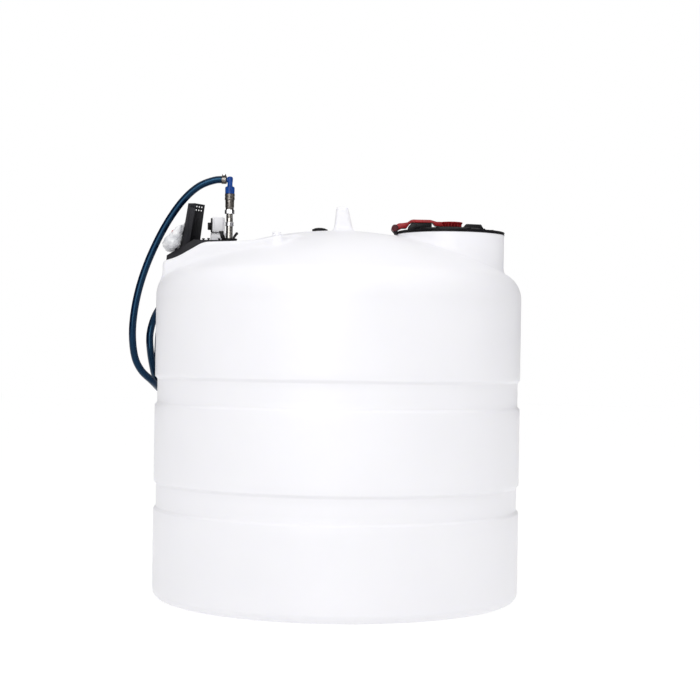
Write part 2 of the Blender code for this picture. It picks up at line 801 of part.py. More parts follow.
def nozzle():
    """The dispensing nozzle that lies in the cradle, its spout towards -Y and its inlet towards +Y."""
    x, z = NOZZLE_AXIS
    body = [
        (0.0, NOZZLE_BACK_Y),
        (0.019, NOZZLE_BACK_Y),
        (NOZZLE_RADIUS, NOZZLE_BACK_Y - 0.006),
        (NOZZLE_RADIUS, NOZZLE_FRONT_Y + 0.030),
        (0.016, NOZZLE_FRONT_Y),
        (0.0, NOZZLE_FRONT_Y),
    ]
    turned("nozzle_body", body, "nozzle_grey", steps=SMALL_STEPS, place=(x, 0.0, z), axis="Y")
    front = NOZZLE_FRONT_Y - GAP
    end = front - 0.070
    spout = [
        (0.0, front),
        (0.0092, front),
        (0.0095, front - 0.0006),
        (0.0095, front - 0.0150),
        (0.0087, front - 0.0160),
        (0.0087, end + 0.0055),
        (0.0094, end + 0.0048),
        (0.0094, end),
        (0.0, end),
    ]
    turned("nozzle_spout", spout, "stainless", steps=SMALL_STEPS, place=(x, 0.0, z), axis="Y")
    tip = end - GAP
    cap = [
        (0.0, tip),
        (0.0103, tip),
        (0.0110, tip - 0.0007),
        (0.0110, tip - 0.0026),
        (0.0101, tip - 0.0034),
        (0.0099, tip - 0.0122),
        (0.0085, tip - 0.0138),
        (0.0, tip - 0.0140),
    ]
    turned("nozzle_spout_cap", cap, "red_moulding", steps=SMALL_STEPS, place=(x, 0.0, z), axis="Y")
    inlet = NOZZLE_BACK_Y + GAP
    cylinder("nozzle_inlet", (x, inlet, z), (x, NOZZLE_INLET_Y, z), 0.0175, "stainless", steps=20)
    loop = [
        (x - 0.014, 0.046, z - 0.0250),
        (x - 0.030, 0.046, z - 0.045),
        (x - 0.042, 0.034, z - 0.062),
        (x - 0.045, 0.000, z - 0.066),
        (x - 0.042, -0.034, z - 0.062),
        (x - 0.030, -0.046, z - 0.045),
        (x - 0.014, -0.046, z - 0.0250),
    ]
    tube("nozzle_guard", smooth_line(loop, 0.010), 0.0045, "nozzle_grey")
    cylinder(
        "nozzle_lever",
        (x - 0.019, 0.040, z - 0.0245),
        (x - 0.031, -0.020, z - 0.046),
        0.005,
        "nozzle_grey",
        steps=12,
    )


def riser():
    """The stainless pipe that rises from the roof flange to the hose fitting, piece by piece."""
    deck = DECK_Z + GAP + SHEET + GAP
    place = (RISER_X, 0.0, 0.0)
    flange = [
        (0.0, 1.5186),
        (0.034, 1.5186),
        (0.034, 1.5100),
        (0.026, 1.5060),
        (0.026, deck + 0.010),
        (0.031, deck + 0.008),
        (0.031, deck),
        (0.0, deck),
    ]
    base = turned("pipe_flange", flange, "black_moulding", steps=SMALL_STEPS, place=place)
    top = 1.5180
    left = [
        (-0.034, top),
        (-0.0435, 1.540),
        (-0.0435, 1.550),
        (-0.0243, 1.550),
        (-0.0243, 1.540),
        (-0.0155, top),
    ]
    right = [
        (0.0155, top),
        (0.0155, 1.5260),
        (0.0290, 1.5455),
        (0.0380, 1.5455),
        (0.0380, 1.5385),
        (0.0220, top),
    ]
    for name, outline in (("wing_left", left), ("wing_right", right)):
        placed = [(RISER_X + x, z) for x, z in outline]
        combine(base, as_cutter(slab(name, placed, -0.009, 0.009, "Y", "black_moulding")), "UNION")

    sections = (
        ("riser_pipe_lower", 1.5186, 1.5712, PIPE_RADIUS, PIPE_RADIUS, "stainless", 20),
        ("riser_ring_nut", 1.5712, 1.5888, 0.0180, 0.0180, "stainless", 20),
        ("riser_pipe_upper", 1.5888, 1.6232, PIPE_RADIUS, PIPE_RADIUS, "stainless", 20),
        ("riser_hex_nut", 1.6232, 1.6412, 0.0207, 0.0207, "stainless", 6),
        ("riser_coupling", 1.6412, 1.6822, 0.0175, 0.0190, "stainless", 20),
        ("riser_collar", 1.6822, 1.7100, 0.0212, 0.0212, "stainless", 20),
        ("fitting_nut", 1.7100, 1.7400, 0.0205, 0.0195, "blue_moulding", 12),
    )
    for name, low, high, lower, upper, material, steps in sections:
        start = (RISER_X, 0.0, low + GAP / 2)
        end = (RISER_X, 0.0, high - GAP / 2)
        cylinder(name, start, end, lower, material, end_radius=upper, steps=steps)


def hose_fitting():
    """The blue elbow on top of the riser, the clamp on the hose's end and the clamp's screw housing."""
    x, y, z = HOSE_START
    lower = [
        (0.0, 1.7840),
        (0.008, 1.7835),
        (0.0115, 1.7800),
        (0.0125, 1.7740),
        (0.0105, 1.7400 + GAP),
        (0.0, 1.7400 + GAP),
    ]
    elbow = turned("hose_elbow", lower, "blue_moulding", steps=SMALL_STEPS, place=(RISER_X, 0.0, 0.0))
    settled(elbow)
    arm = as_cutter(
        cylinder("elbow_arm", (x + 5 * GAP, y, z), (RISER_X, y, z), 0.0105, "blue_moulding", steps=16)
    )
    combine(elbow, arm, "UNION")
    inner, outer = HOSE_RADIUS + 0.0018, HOSE_RADIUS + 0.0036
    ring = [(outer, 0.0095), (outer, -0.0095), (inner, -0.0095), (inner, 0.0095)]
    clamp = turned("hose_clamp", ring, "stainless", steps=20, place=(-0.4985, 0.0, z), axis="X")
    settled(clamp)
    housing = as_cutter(
        box("clamp_screw", (-0.5060, -0.010, z + outer - 0.0010), (-0.4910, 0.012, z + 0.0250), "stainless")
    )
    combine(clamp, housing, "UNION")


def smooth_line(route, spacing):
    """Evenly spaced points on the smooth curve through a route's own points."""
    points = np.array(route, float)
    ends = np.vstack([2 * points[0] - points[1], points, 2 * points[-1] - points[-2]])
    fine = []
    for before, start, end, after in zip(ends, ends[1:], ends[2:], ends[3:]):
        for t in np.linspace(0.0, 1.0, 12, endpoint=False):
            cubic = 2 * start + (end - before) * t
            cubic = cubic + (2 * before - 5 * start + 4 * end - after) * t**2
            cubic = cubic + (3 * start - before - 3 * end + after) * t**3
            fine.append(cubic / 2)
    fine.append(points[-1])
    fine = np.array(fine)
    along = np.concatenate([[0.0], np.cumsum(np.linalg.norm(np.diff(fine, axis=0), axis=1))])
    count = max(2, round(along[-1] / spacing) + 1)
    at = np.linspace(0.0, along[-1], count)
    return [tuple(float(np.interp(s, along, fine[:, k])) for k in range(3)) for s in at]


def hose():
    """The blue delivery hose, from the elbow to the nozzle's inlet."""
    x, z = NOZZLE_AXIS
    route = (HOSE_START, *HOSE_ROUTE, (x, NOZZLE_INLET_Y + 4 * GAP, z))
    tube("hose", smooth_line(route, HOSE_SPACING), HOSE_RADIUS, "blue_hose")


def pump_and_switch():
    """The white pump housing behind the riser, the switch box on it and its rotary switch."""
    deck = DECK_Z + GAP + SHEET + GAP
    left, right = SWITCH_BOX_X
    housing = box("pump_housing", (-0.5570, 0.040, deck), (-0.4900, 0.158, PUMP_TOP), "white_moulding")
    bevelled(housing, 0.006)
    low = (left, SWITCH_Y - 0.030, PUMP_TOP + GAP)
    case = box("switch_box", low, (right, SWITCH_Y + 0.030, SWITCH_BOX_TOP), "white_moulding")
    bevelled(case, 0.004)
    plate_x = left - GAP
    face = plate_x - SWITCH_PLATE
    low = (face, SWITCH_Y - 0.029, PUMP_TOP + GAP)
    plate = box("switch_plate", low, (plate_x, SWITCH_Y + 0.029, 1.6080), "black_moulding")
    bevelled(plate, 0.002, 1)
    face = face - 2 * GAP
    knob = [(0.0, 0.0), (0.0160, 0.0), (0.0170, -0.002), (0.0160, -0.006), (0.0, -0.006)]
    place = (face, SWITCH_Y, SWITCH_Z)
    dial = turned("switch_knob", knob, "black_moulding", steps=SMALL_STEPS, place=place, axis="X")
    settled(dial)
    low = (face - 0.0146, SWITCH_Y - 0.0055, SWITCH_Z - 0.0158)
    high = (face - 0.0045, SWITCH_Y + 0.0055, SWITCH_Z + 0.0158)
    combine(dial, as_cutter(box("knob_grip", low, high, "black_moulding")), "UNION")


clear_scene()
parts = new_collection("vertical_storage_tank")
cutters = new_collection("cutters")
materials = {name: make_material(name) for name in MATERIALS}

tank_shell()
roof()
manhole_neck()
lifting_lug()
roof_caps()
manhole_collar()
hinge_bracket()
lid()
lid_arm()
equipment_tray()
nozzle_holder()
nozzle()
riser()
hose_fitting()
pump_and_switch()
hose()
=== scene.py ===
"""The look of the vertical storage tank: a white moulded tank with a hinged manhole lid and, on its
roof, a dispensing kit with a riser, a hose, a nozzle in its holder and a switch.

Lengths are in metres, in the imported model's frame: the origin is the middle of the flat bottom, the
manhole is on the +X side and the equipment platform on the -X side.
"""

import math

import bmesh
import bpy
import numpy as np
from mathutils import Matrix, Vector, noise


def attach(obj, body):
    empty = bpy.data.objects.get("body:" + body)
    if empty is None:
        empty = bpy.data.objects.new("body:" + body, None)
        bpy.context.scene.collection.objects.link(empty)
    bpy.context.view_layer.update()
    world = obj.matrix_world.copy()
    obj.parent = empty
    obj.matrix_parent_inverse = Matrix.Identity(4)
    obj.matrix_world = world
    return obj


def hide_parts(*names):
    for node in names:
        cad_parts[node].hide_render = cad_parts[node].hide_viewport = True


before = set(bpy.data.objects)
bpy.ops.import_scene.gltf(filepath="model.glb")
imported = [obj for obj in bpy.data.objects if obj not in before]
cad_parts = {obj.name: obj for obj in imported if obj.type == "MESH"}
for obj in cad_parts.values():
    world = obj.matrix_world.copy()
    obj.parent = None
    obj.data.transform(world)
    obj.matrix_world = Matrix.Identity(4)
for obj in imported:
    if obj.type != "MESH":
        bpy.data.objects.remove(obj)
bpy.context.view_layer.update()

# Sizes of the moulded tank
TANK_RADIUS = 0.775
TANK_APEX = 1.555
WALL = 0.008
DOME_RADIUS = 1.5
DOME_CENTRE = TANK_APEX - DOME_RADIUS
SHOULDER_RADIUS = 0.12
SHOULDER_R = TANK_RADIUS - SHOULDER_RADIUS
SHOULDER_Z = DOME_CENTRE + math.sqrt((DOME_RADIUS - SHOULDER_RADIUS) ** 2 - SHOULDER_R**2)
FOOT_RADIUS = 0.04
BAND_DEPTH = 0.01
BAND_EDGE = 0.016
BANDS = ((0.807, 0.932), (0.371, 0.493))
ROOF_SEAM_Z = 1.25
ROOF_CELL = 0.0088

# Widths over which the forms of the moulding run into each other
PAD_CREASE = 0.014
PLATFORM_CORNER = 0.034
PLATFORM_EDGE = 0.02
DECK_CREASE = 0.012
FORM_CREASE = 0.022
LUG_CREASE = 0.024

# Sizes of the equipment platform, as an outline from above and a height along X
PLATFORM_PLAN = ((-0.735, 0.19), (-0.24, 0.47), (-0.165, 0.33), (-0.15, 0.2))
DECK_Z = 1.4845
DECK_OUTER = (-0.735, 1.392)
DECK_BEND_X = -0.5567
DECK_RISE_X = -0.34
DECK_INNER = (-0.13, 1.524)
PAD_X = (-0.6, -0.385)
PAD_HALF_WIDTH = 0.22

# Sizes of the manhole, its lid and the lid's arm
NECK_X = 0.474
NECK_RADIUS = 0.2265
NECK_TOP = 1.549
LID_RADIUS = 0.2285
LID_RIM_TOP = 1.559
LID_PLATEAU_TOP = 1.572
ARM_HALF_WIDTH = 0.025
HINGE_X = 0.234
HINGE_Z = 1.5716

# Sizes of the lifting lug: left and right sides as (x, z) at foot and top
LUG_LEFT = ((-0.0255, 1.56), (-0.016, 1.661))
LUG_RIGHT = ((0.0557, 1.56), (0.0326, 1.661))
LUG_TOP = 1.661

# Sizes of the dispensing kit
RISER_X = -0.473
HOSE_RADIUS = 0.0155
HOSE_START = (-0.4873, 0.0, 1.769)
HOSE_SPACING = 0.014
NOZZLE_X = -0.691
NOZZLE_Z = 1.53
NOZZLE_INLET_Y = 0.115
HOLDER_FOOT = (-0.667, 0.0, 1.4815)
HOLDER_LEAN = math.radians(9.0)
HOLDER_FRONT_TOP = 0.178
HOLDER_BACK_TOP = 0.2015
SWITCH_Y = 0.058
SWITCH_Z = 1.5746
SWITCH_FACE_X = -0.5561
PUMP_TOP = 1.5472
SHEET = 0.003

# The hose's route, the same points as in the part's source
HOSE_ROUTE = (
    (-0.537, 0.0, 1.7675), (-0.607, 0.0, 1.739), (-0.675, 0.0, 1.676), (-0.742, 0.0, 1.577),
    (-0.802, 0.0, 1.455), (-0.845, 0.0, 1.336), (-0.871, 0.001, 1.222), (-0.881, 0.004, 1.11),
    (-0.871, 0.012, 1.01), (-0.844, 0.032, 0.949), (-0.803, 0.08, 0.904), (-0.779, 0.166, 0.868),
    (-0.75, 0.27, 0.838), (-0.7, 0.384, 0.812), (-0.62, 0.503, 0.798), (-0.529, 0.598, 0.8),
    (-0.414, 0.683, 0.834), (-0.346, 0.72, 0.915), (-0.318, 0.733, 1.02), (-0.313, 0.735, 1.14),
    (-0.312, 0.735, 1.25), (-0.306, 0.721, 1.334), (-0.287, 0.675, 1.402), (-0.268, 0.607, 1.443),
    (-0.28, 0.533, 1.463), (-0.327, 0.475, 1.468), (-0.396, 0.44, 1.461), (-0.529, 0.405, 1.43),
    (-0.67, 0.388, 1.371), (-0.768, 0.387, 1.27), (-0.809, 0.391, 1.15), (-0.818, 0.392, 1.03),
    (-0.812, 0.365, 0.948), (-0.801, 0.295, 0.897), (-0.798, 0.209, 0.897), (-0.804, 0.139, 0.948),
    (-0.816, 0.112, 1.03), (-0.82, 0.12, 1.11), (-0.803, 0.16, 1.19), (-0.769, 0.222, 1.258),
    (-0.736, 0.271, 1.325), (-0.711, 0.284, 1.397), (-0.699, 0.266, 1.463), (-0.692, 0.216, 1.511),
    (-0.691, 0.15, 1.53),
)

# How meshes are made: angles in degrees at which shading stays sharp and edges are eased, and the
# distance below which corners are one
SHARP_ANGLE = 35.0
EASE_ANGLE = 28.0
MERGE = 0.00002

# Camera as found from the photograph's perspective
CAMERA_PLACE = (0.051, -6.86, 1.016)
CAMERA_LENS = 1605.0 * 36.0 / 700.0
CAMERA_SHIFT_Y = 8.0 / 700.0
CAMERA_ROLL = 0.015

# Strengths of the soft light from all around
SURROUND_BASE = 0.45
SURROUND_FRONT = 0.12
SURROUND_TOP = 0.58

# What glossy surfaces mirror: a large soft panel beside the camera, a weaker one above, little else
PANEL_WAY = (-0.2, -0.93, 0.22)
PANEL_LIGHT = 3.6
PANEL_EDGE = (0.86, 0.985)
PANEL_ABOVE = 0.9
PANEL_DARK = 0.03

# Lamps, each with its place, what it is aimed at, its size and its power
LAMPS = {
    "key": ((-0.9, -4.4, 4.6), (0.0, 0.0, 1.4), 2.2, 74.0),
    "side_fill": ((4.4, -3.4, 3.4), (0.3, 0.0, 1.2), 2.4, 16.0),
    "strip": ((-1.5, -6.0, 1.5), (-0.7, 0.0, 1.3), 0.8, 7.0),
    "back": ((1.2, 4.6, 4.2), (0.0, 0.0, 1.2), 3.0, 16.0),
}
FLOOR_HALF = 30.0


# Materials


def plain_material(name, colour, roughness, metallic=0.0, level=0.5, sockets=None):
    """A material with one colour, its roughness and the strength of its gloss."""
    made = bpy.data.materials.new(name)
    made.use_nodes = True
    shader = made.node_tree.nodes["Principled BSDF"]
    shader.inputs["Base Color"].default_value = (*colour, 1.0)
    shader.inputs["Roughness"].default_value = roughness
    shader.inputs["Metallic"].default_value = metallic
    shader.inputs["Specular IOR Level"].default_value = level
    for socket, value in (sockets or {}).items():
        shader.inputs[socket].default_value = value
    return made


def pattern_noise(made, scale, detail, stretch):
    """A noise texture on the piece's own coordinates, in metres."""
    nodes, links = made.node_tree.nodes, made.node_tree.links
    place = nodes.new("ShaderNodeTexCoord")
    mapping = nodes.new("ShaderNodeMapping")
    mapping.inputs["Scale"].default_value = stretch
    texture = nodes.new("ShaderNodeTexNoise")
    texture.inputs["Scale"].default_value = scale
    texture.inputs["Detail"].default_value = detail
    links.new(place.outputs["Object"], mapping.inputs["Vector"])
    links.new(mapping.outputs["Vector"], texture.inputs["Vector"])
    return texture


def grain(made, scale, height, distance, detail=3.0, stretch=(1.0, 1.0, 1.0)):
    """Adds a fine relief to a material, on top of any relief that it has."""
    nodes, links = made.node_tree.nodes, made.node_tree.links
    shader = nodes["Principled BSDF"]
    texture = pattern_noise(made, scale, detail, stretch)
    bump = nodes.new("ShaderNodeBump")
    bump.inputs["Strength"].default_value = height
    bump.inputs["Distance"].default_value = distance
    links.new(texture.outputs["Fac"], bump.inputs["Height"])
    if shader.inputs["Normal"].is_linked:
        links.new(shader.inputs["Normal"].links[0].from_socket, bump.inputs["Normal"])
    links.new(bump.outputs["Normal"], shader.inputs["Normal"])
    return made


def mottle(made, scale, first, second, detail=4.0, stretch=(1.0, 1.0, 1.0)):
    """Lets a material's colour drift between two tones."""
    nodes, links = made.node_tree.nodes, made.node_tree.links
    texture = pattern_noise(made, scale, detail, stretch)
    ramp = nodes.new("ShaderNodeValToRGB")
    ramp.color_ramp.elements[0].position = 0.35
    ramp.color_ramp.elements[0].color = (*first, 1.0)
    ramp.color_ramp.elements[1].position = 0.68
    ramp.color_ramp.elements[1].color = (*second, 1.0)
    links.new(texture.outputs["Fac"], ramp.inputs["Fac"])
    links.new(ramp.outputs["Color"], nodes["Principled BSDF"].inputs["Base Color"])
    return made


def wear(made, scale, low, high, stretch=(1.0, 1.0, 1.0)):
    """Lets a material's roughness drift between two values."""
    nodes, links = made.node_tree.nodes, made.node_tree.links
    texture = pattern_noise(made, scale, 4.0, stretch)
    spread = nodes.new("ShaderNodeMapRange")
    spread.inputs["From Min"].default_value = 0.3
    spread.inputs["From Max"].default_value = 0.7
    spread.inputs["To Min"].default_value = low
    spread.inputs["To Max"].default_value = high
    links.new(texture.outputs["Fac"], spread.inputs["Value"])
    links.new(spread.outputs["Result"], nodes["Principled BSDF"].inputs["Roughness"])
    return made


def natural_polyethylene():
    """Milky rotational moulding with a faint orange-peel skin."""
    sockets = {
        "IOR": 1.51,
        "Subsurface Weight": 0.18,
        "Subsurface Radius": (0.02, 0.02, 0.024),
        "Subsurface Scale": 0.5,
        "Specular IOR Level": 0.4,
    }
    made = plain_material("natural_polyethylene", (0.865, 0.86, 0.895), 0.42, sockets=sockets)
    mottle(made, 2.2, (0.855, 0.85, 0.885), (0.875, 0.87, 0.905))
    wear(made, 6.0, 0.36, 0.5)
    grain(made, 260.0, 0.05, 0.0006)
    grain(made, 7.0, 0.1, 0.004, detail=1.0)
    return made


def black_plastic():
    made = plain_material("black_plastic", (0.008, 0.008, 0.009), 0.42, level=0.14)
    mottle(made, 30.0, (0.006, 0.006, 0.007), (0.011, 0.01, 0.012))
    wear(made, 40.0, 0.32, 0.48)
    grain(made, 900.0, 0.18, 0.0003)
    return made


def black_powder_coat():
    made = plain_material("black_powder_coat", (0.006, 0.006, 0.009), 0.5, level=0.2)
    mottle(made, 18.0, (0.004, 0.004, 0.006), (0.009, 0.008, 0.013))
    grain(made, 700.0, 0.35, 0.0004, detail=5.0)
    return made


def red_plastic():
    made = plain_material("red_plastic", (0.32, 0.01, 0.014), 0.38, level=0.28)
    mottle(made, 26.0, (0.26, 0.007, 0.01), (0.38, 0.014, 0.018))
    grain(made, 600.0, 0.12, 0.0003)
    return made


def maroon_plastic():
    made = plain_material("maroon_plastic", (0.06, 0.006, 0.01), 0.42, level=0.25)
    mottle(made, 40.0, (0.045, 0.005, 0.008), (0.08, 0.007, 0.012))
    grain(made, 600.0, 0.12, 0.0003)
    return made


def turned_stainless():
    made = plain_material("turned_stainless", (0.42, 0.405, 0.38), 0.22, 1.0)
    mottle(made, 60.0, (0.33, 0.315, 0.29), (0.48, 0.465, 0.44), stretch=(1.0, 1.0, 6.0))
    wear(made, 90.0, 0.17, 0.32, stretch=(1.0, 1.0, 10.0))
    grain(made, 220.0, 0.1, 0.0002, stretch=(1.0, 1.0, 14.0))
    return made


def knurled_steel():
    """Darker steel of the quick coupling, its tone drifting at random in small patches between darker
    and lighter.
    """
    made = plain_material("knurled_steel", (0.2, 0.185, 0.17), 0.36, 1.0)
    mottle(made, 160.0, (0.11, 0.1, 0.09), (0.27, 0.25, 0.23), stretch=(1.0, 1.0, 2.0))
    wear(made, 120.0, 0.28, 0.46)
    grain(made, 420.0, 0.45, 0.0005)
    return made


def zinc_plate():
    made = plain_material("zinc_plate", (0.66, 0.66, 0.67), 0.38, 1.0)
    mottle(made, 200.0, (0.56, 0.56, 0.57), (0.74, 0.74, 0.75))
    wear(made, 150.0, 0.26, 0.44)
    return made


def blue_plastic():
    made = plain_material("blue_plastic", (0.001, 0.046, 0.25), 0.36, level=0.3)
    mottle(made, 45.0, (0.001, 0.036, 0.2), (0.002, 0.055, 0.29))
    grain(made, 700.0, 0.1, 0.0003)
    return made


def blue_rubber():
    """The hose's smooth glossy cover, deep blue with a faint drift of tone."""
    sockets = {"Specular IOR Level": 0.5, "Specular Tint": (0.22, 0.6, 1.0, 1.0)}
    made = plain_material("blue_rubber", (0.001, 0.006, 0.024), 0.2, sockets=sockets)
    mottle(made, 14.0, (0.001, 0.005, 0.019), (0.001, 0.008, 0.03))
    wear(made, 30.0, 0.14, 0.21)
    grain(made, 500.0, 0.06, 0.0003)
    return made


def white_plastic():
    made = plain_material("white_plastic", (0.96, 0.955, 0.985), 0.36)
    mottle(made, 20.0, (0.945, 0.94, 0.975), (0.975, 0.97, 0.995))
    grain(made, 800.0, 0.1, 0.0003)
    return made


def nozzle_plastic():
    made = plain_material("nozzle_plastic", (0.055, 0.06, 0.068), 0.4)
    mottle(made, 50.0, (0.045, 0.05, 0.057), (0.07, 0.075, 0.083))
    grain(made, 700.0, 0.15, 0.0003)
    return made


def gasket_rubber():
    made = plain_material("gasket_rubber", (0.03, 0.03, 0.031), 0.62)
    grain(made, 500.0, 0.2, 0.0004)
    return made


def clear_film():
    """Thin milky wrapping, crumpled, with soft glints; its colour drifts in patches from white to grey
    as painted shade of its creases.
    """
    sockets = {"Alpha": 0.86, "Specular IOR Level": 0.7, "IOR": 1.49}
    made = plain_material("clear_film", (0.92, 0.92, 0.94), 0.24, sockets=sockets)
    # The grey end of this colour drift is painted shade of the film's creases, spread at random over
    # it.
    mottle(made, 30.0, (0.62, 0.63, 0.66), (0.99, 0.99, 1.0), detail=6.0)
    grain(made, 48.0, 0.9, 0.005, detail=4.0)
    return made


def studio_floor():
    """Pale and even, and light enough that only soft contact shadows show on it."""
    glow = {"Emission Color": (1.0, 1.0, 1.0, 1.0), "Emission Strength": 0.74}
    return plain_material("studio_floor", (0.28, 0.28, 0.28), 0.9, sockets=glow)


# Making of meshes


def as_object(name, mesh, material_name, angle=SHARP_ANGLE):
    """A new smooth-shaded object for a mesh that is already in place."""
    made = bpy.data.objects.new(name, mesh)
    bpy.context.scene.collection.objects.link(made)
    mesh.materials.clear()
    mesh.materials.append(materials[material_name])
    if len(mesh.polygons):
        mesh.shade_smooth()
        mesh.set_sharp_from_angle(angle=math.radians(angle))
    return made


def from_faces(name, corners, faces, material_name, angle=SHARP_ANGLE):
    mesh = bpy.data.meshes.new(name)
    mesh.from_pydata([tuple(corner) for corner in corners], [], faces)
    bm = bmesh.new()
    bm.from_mesh(mesh)
    bmesh.ops.remove_doubles(bm, verts=bm.verts, dist=MERGE)
    bmesh.ops.recalc_face_normals(bm, faces=bm.faces)
    bm.to_mesh(mesh)
    bm.free()
    return as_object(name, mesh, material_name, angle)


def settled(obj, angle=SHARP_ANGLE):
    """Replaces an object's modifiers by the mesh that they give."""
    bpy.context.view_layer.update()
    graph = bpy.context.evaluated_depsgraph_get()
    mesh = bpy.data.meshes.new_from_object(obj.evaluated_get(graph))
    obj.modifiers.clear()
    obj.data = mesh
    mesh.shade_smooth()
    mesh.set_sharp_from_angle(angle=math.radians(angle))
    return obj


def placed(obj, matrix):
    """Moves an object's mesh, so that the object itself stays at the origin."""
    obj.data.transform(matrix)
    obj.data.update()
    return obj


def eased(obj, width, segments=2):
    """Rounds an object's edges, as a modifier applied at once."""
    modifier = obj.modifiers.new("eased", "BEVEL")
    modifier.width = width
    modifier.segments = segments
    modifier.limit_method = "ANGLE"
    modifier.angle_limit = math.radians(EASE_ANGLE)
    return settled(obj)


def cut(obj, tool):
    return boolean(obj, tool, "DIFFERENCE")


def fuse(obj, *others):
    for other in others:
        boolean(obj, other, "UNION")
    return obj


def boolean(obj, tool, operation):
    modifier = obj.modifiers.new("boolean", "BOOLEAN")
    modifier.operation = operation
    modifier.object = tool
    modifier.solver = "EXACT"
    settled(obj)
    bpy.data.objects.remove(tool)
    return obj


def joined(name, pieces):
    """One object from several that don't touch or need no fusing."""
    bm = bmesh.new()
    mesh = bpy.data.meshes.new(name)
    slots = []
    for piece in pieces:
        material = piece.data.materials[0]
        if material not in slots:
            slots.append(material)
        start = len(bm.faces)
        bm.from_mesh(piece.data)
        bm.faces.ensure_lookup_table()
        for face in bm.faces[start:]:
            face.material_index = slots.index(material)
    bm.to_mesh(mesh)
    bm.free()
    for material in slots:
        mesh.materials.append(material)
    made = bpy.data.objects.new(name, mesh)
    bpy.context.scene.collection.objects.link(made)
    mesh.shade_smooth()
    mesh.set_sharp_from_angle(angle=math.radians(SHARP_ANGLE))
    for piece in pieces:
        bpy.data.objects.remove(piece)
    return made


def turned(name, profile, material_name, place=(0.0, 0.0, 0.0), axis="Z", steps=48, angle=SHARP_ANGLE):
    """A turned solid from (radius, height) points, closed on the axis or into a ring."""
    on_axis = profile[0][0] == 0.0 and profile[-1][0] == 0.0
    corners, faces, rings = [], [], []
    for radius, height in profile:
        start = len(corners)
        if radius == 0.0:
            corners.append((0.0, 0.0, height))
            rings.append([start] * steps)
            continue
        for i in range(steps):
            turn = math.tau * i / steps
            corners.append((radius * math.cos(turn), radius * math.sin(turn), height))
        rings.append(list(range(start, start + steps)))
    pairs = list(zip(rings, rings[1:]))
    if not on_axis:
        pairs.append((rings[-1], rings[0]))
    for upper, lower in pairs:
        for i in range(steps):
            j = (i + 1) % steps
            loop = [upper[i], upper[j], lower[j], lower[i]]
            loop = [v for k, v in enumerate(loop) if v != loop[k - 1]]
            if len(loop) > 2:
                faces.append(loop)
    made = from_faces(name, corners, faces, material_name, angle)
    matrix = Matrix.Translation(place)
    if axis == "X":
        matrix = matrix @ Matrix.Rotation(math.radians(90.0), 4, "Y")
    if axis == "Y":
        matrix = matrix @ Matrix.Rotation(math.radians(-90.0), 4, "X")
    return placed(made, matrix)


def block(name, low, high, material_name, ease=0.0, segments=2):
    x, y, z = low
    a, b, c = high
    corners = [(x, y, z), (a, y, z), (a, b, z), (x, b, z), (x, y, c), (a, y, c), (a, b, c), (x, b, c)]
    faces = [(0, 3, 2, 1), (4, 5, 6, 7), (0, 1, 5, 4), (1, 2, 6, 5), (2, 3, 7, 6), (3, 0, 4, 7)]
    made = from_faces(name, corners, faces, material_name)
    return eased(made, ease, segments) if ease else made


def slab(name, outline, low, high, along, material_name, ease=0.0, segments=2):
    """An outline drawn in two axes and given its thickness along the third one."""
    spread = {
        "X": lambda a, b, c: (c, a, b),
        "Y": lambda a, b, c: (a, c, b),
        "Z": lambda a, b, c: (a, b, c),
    }[along]
    count = len(outline)
    corners = [spread(a, b, low) for a, b in outline] + [spread(a, b, high) for a, b in outline]
    faces = [tuple(range(count)), tuple(range(2 * count - 1, count - 1, -1))]
    faces += [(i, i + count, (i + 1) % count + count, (i + 1) % count) for i in range(count)]
    made = from_faces(name, corners, faces, material_name)
    return eased(made, ease, segments) if ease else made


def bar(name, start, end, radius, material_name, steps=20, ease=0.0):
    """A round bar between two points."""
    start, end = Vector(start), Vector(end)
    run = end - start
    length = run.length
    if ease:
        profile = [(0.0, length), (radius - ease, length), (radius, length - ease), (radius, ease)]
        profile += [(radius - ease, 0.0), (0.0, 0.0)]
    else:
        profile = [(0.0, length), (radius, length), (radius, 0.0), (0.0, 0.0)]
    made = turned(name, profile, material_name, steps=steps)
    matrix = Matrix.Translation(start) @ run.to_track_quat("Z", "Y").to_matrix().to_4x4()
    return placed(made, matrix)


def arc(centre, radius, start, end, count):
    """Points on an arc in a plane, with the angles in degrees."""
    angles = [math.radians(start + (end - start) * i / count) for i in range(count + 1)]
    return [(centre[0] + radius * math.cos(a), centre[1] + radius * math.sin(a)) for a in angles]


def smooth_line(route, spacing):
    """Evenly spaced points on the smooth curve through a route's own points."""
    points = np.array(route, float)
    ends = np.vstack([2 * points[0] - points[1], points, 2 * points[-1] - points[-2]])
    fine = []
    for before, start, end, after in zip(ends, ends[1:], ends[2:], ends[3:]):
        for t in np.linspace(0.0, 1.0, 12, endpoint=False):
            cubic = 2 * start + (end - before) * t
            cubic = cubic + (2 * before - 5 * start + 4 * end - after) * t**2
            cubic = cubic + (3 * start - before - 3 * end + after) * t**3
            fine.append(cubic / 2)
    fine.append(points[-1])
    fine = np.array(fine)
    along = np.concatenate([[0.0], np.cumsum(np.linalg.norm(np.diff(fine, axis=0), axis=1))])
    count = max(2, round(along[-1] / spacing) + 1)
    at = np.linspace(0.0, along[-1], count)
    return [tuple(float(np.interp(s, along, fine[:, k])) for k in range(3)) for s in at]


def smooth_ring(outline, count):
    """Evenly spaced points on the smooth closed curve through an outline's points."""
    looped = [(a, b, 0.0) for a, b in (*outline[-2:], *outline, *outline[:3])]
    line = np.array(smooth_line(looped, 0.0005))[:, :2]
    start = int(np.argmin(np.hypot(*(line[: len(line) // 3] - outline[0]).T)))
    half = len(line) // 2
    end = half + int(np.argmin(np.hypot(*(line[half:] - outline[0]).T)))
    loop = line[start : end + 1]
    along = np.concatenate([[0.0], np.cumsum(np.linalg.norm(np.diff(loop, axis=0), axis=1))])
    at = np.linspace(0.0, along[-1], count, endpoint=False)
    return [tuple(float(np.interp(s, along, loop[:, k])) for k in range(2)) for s in at]


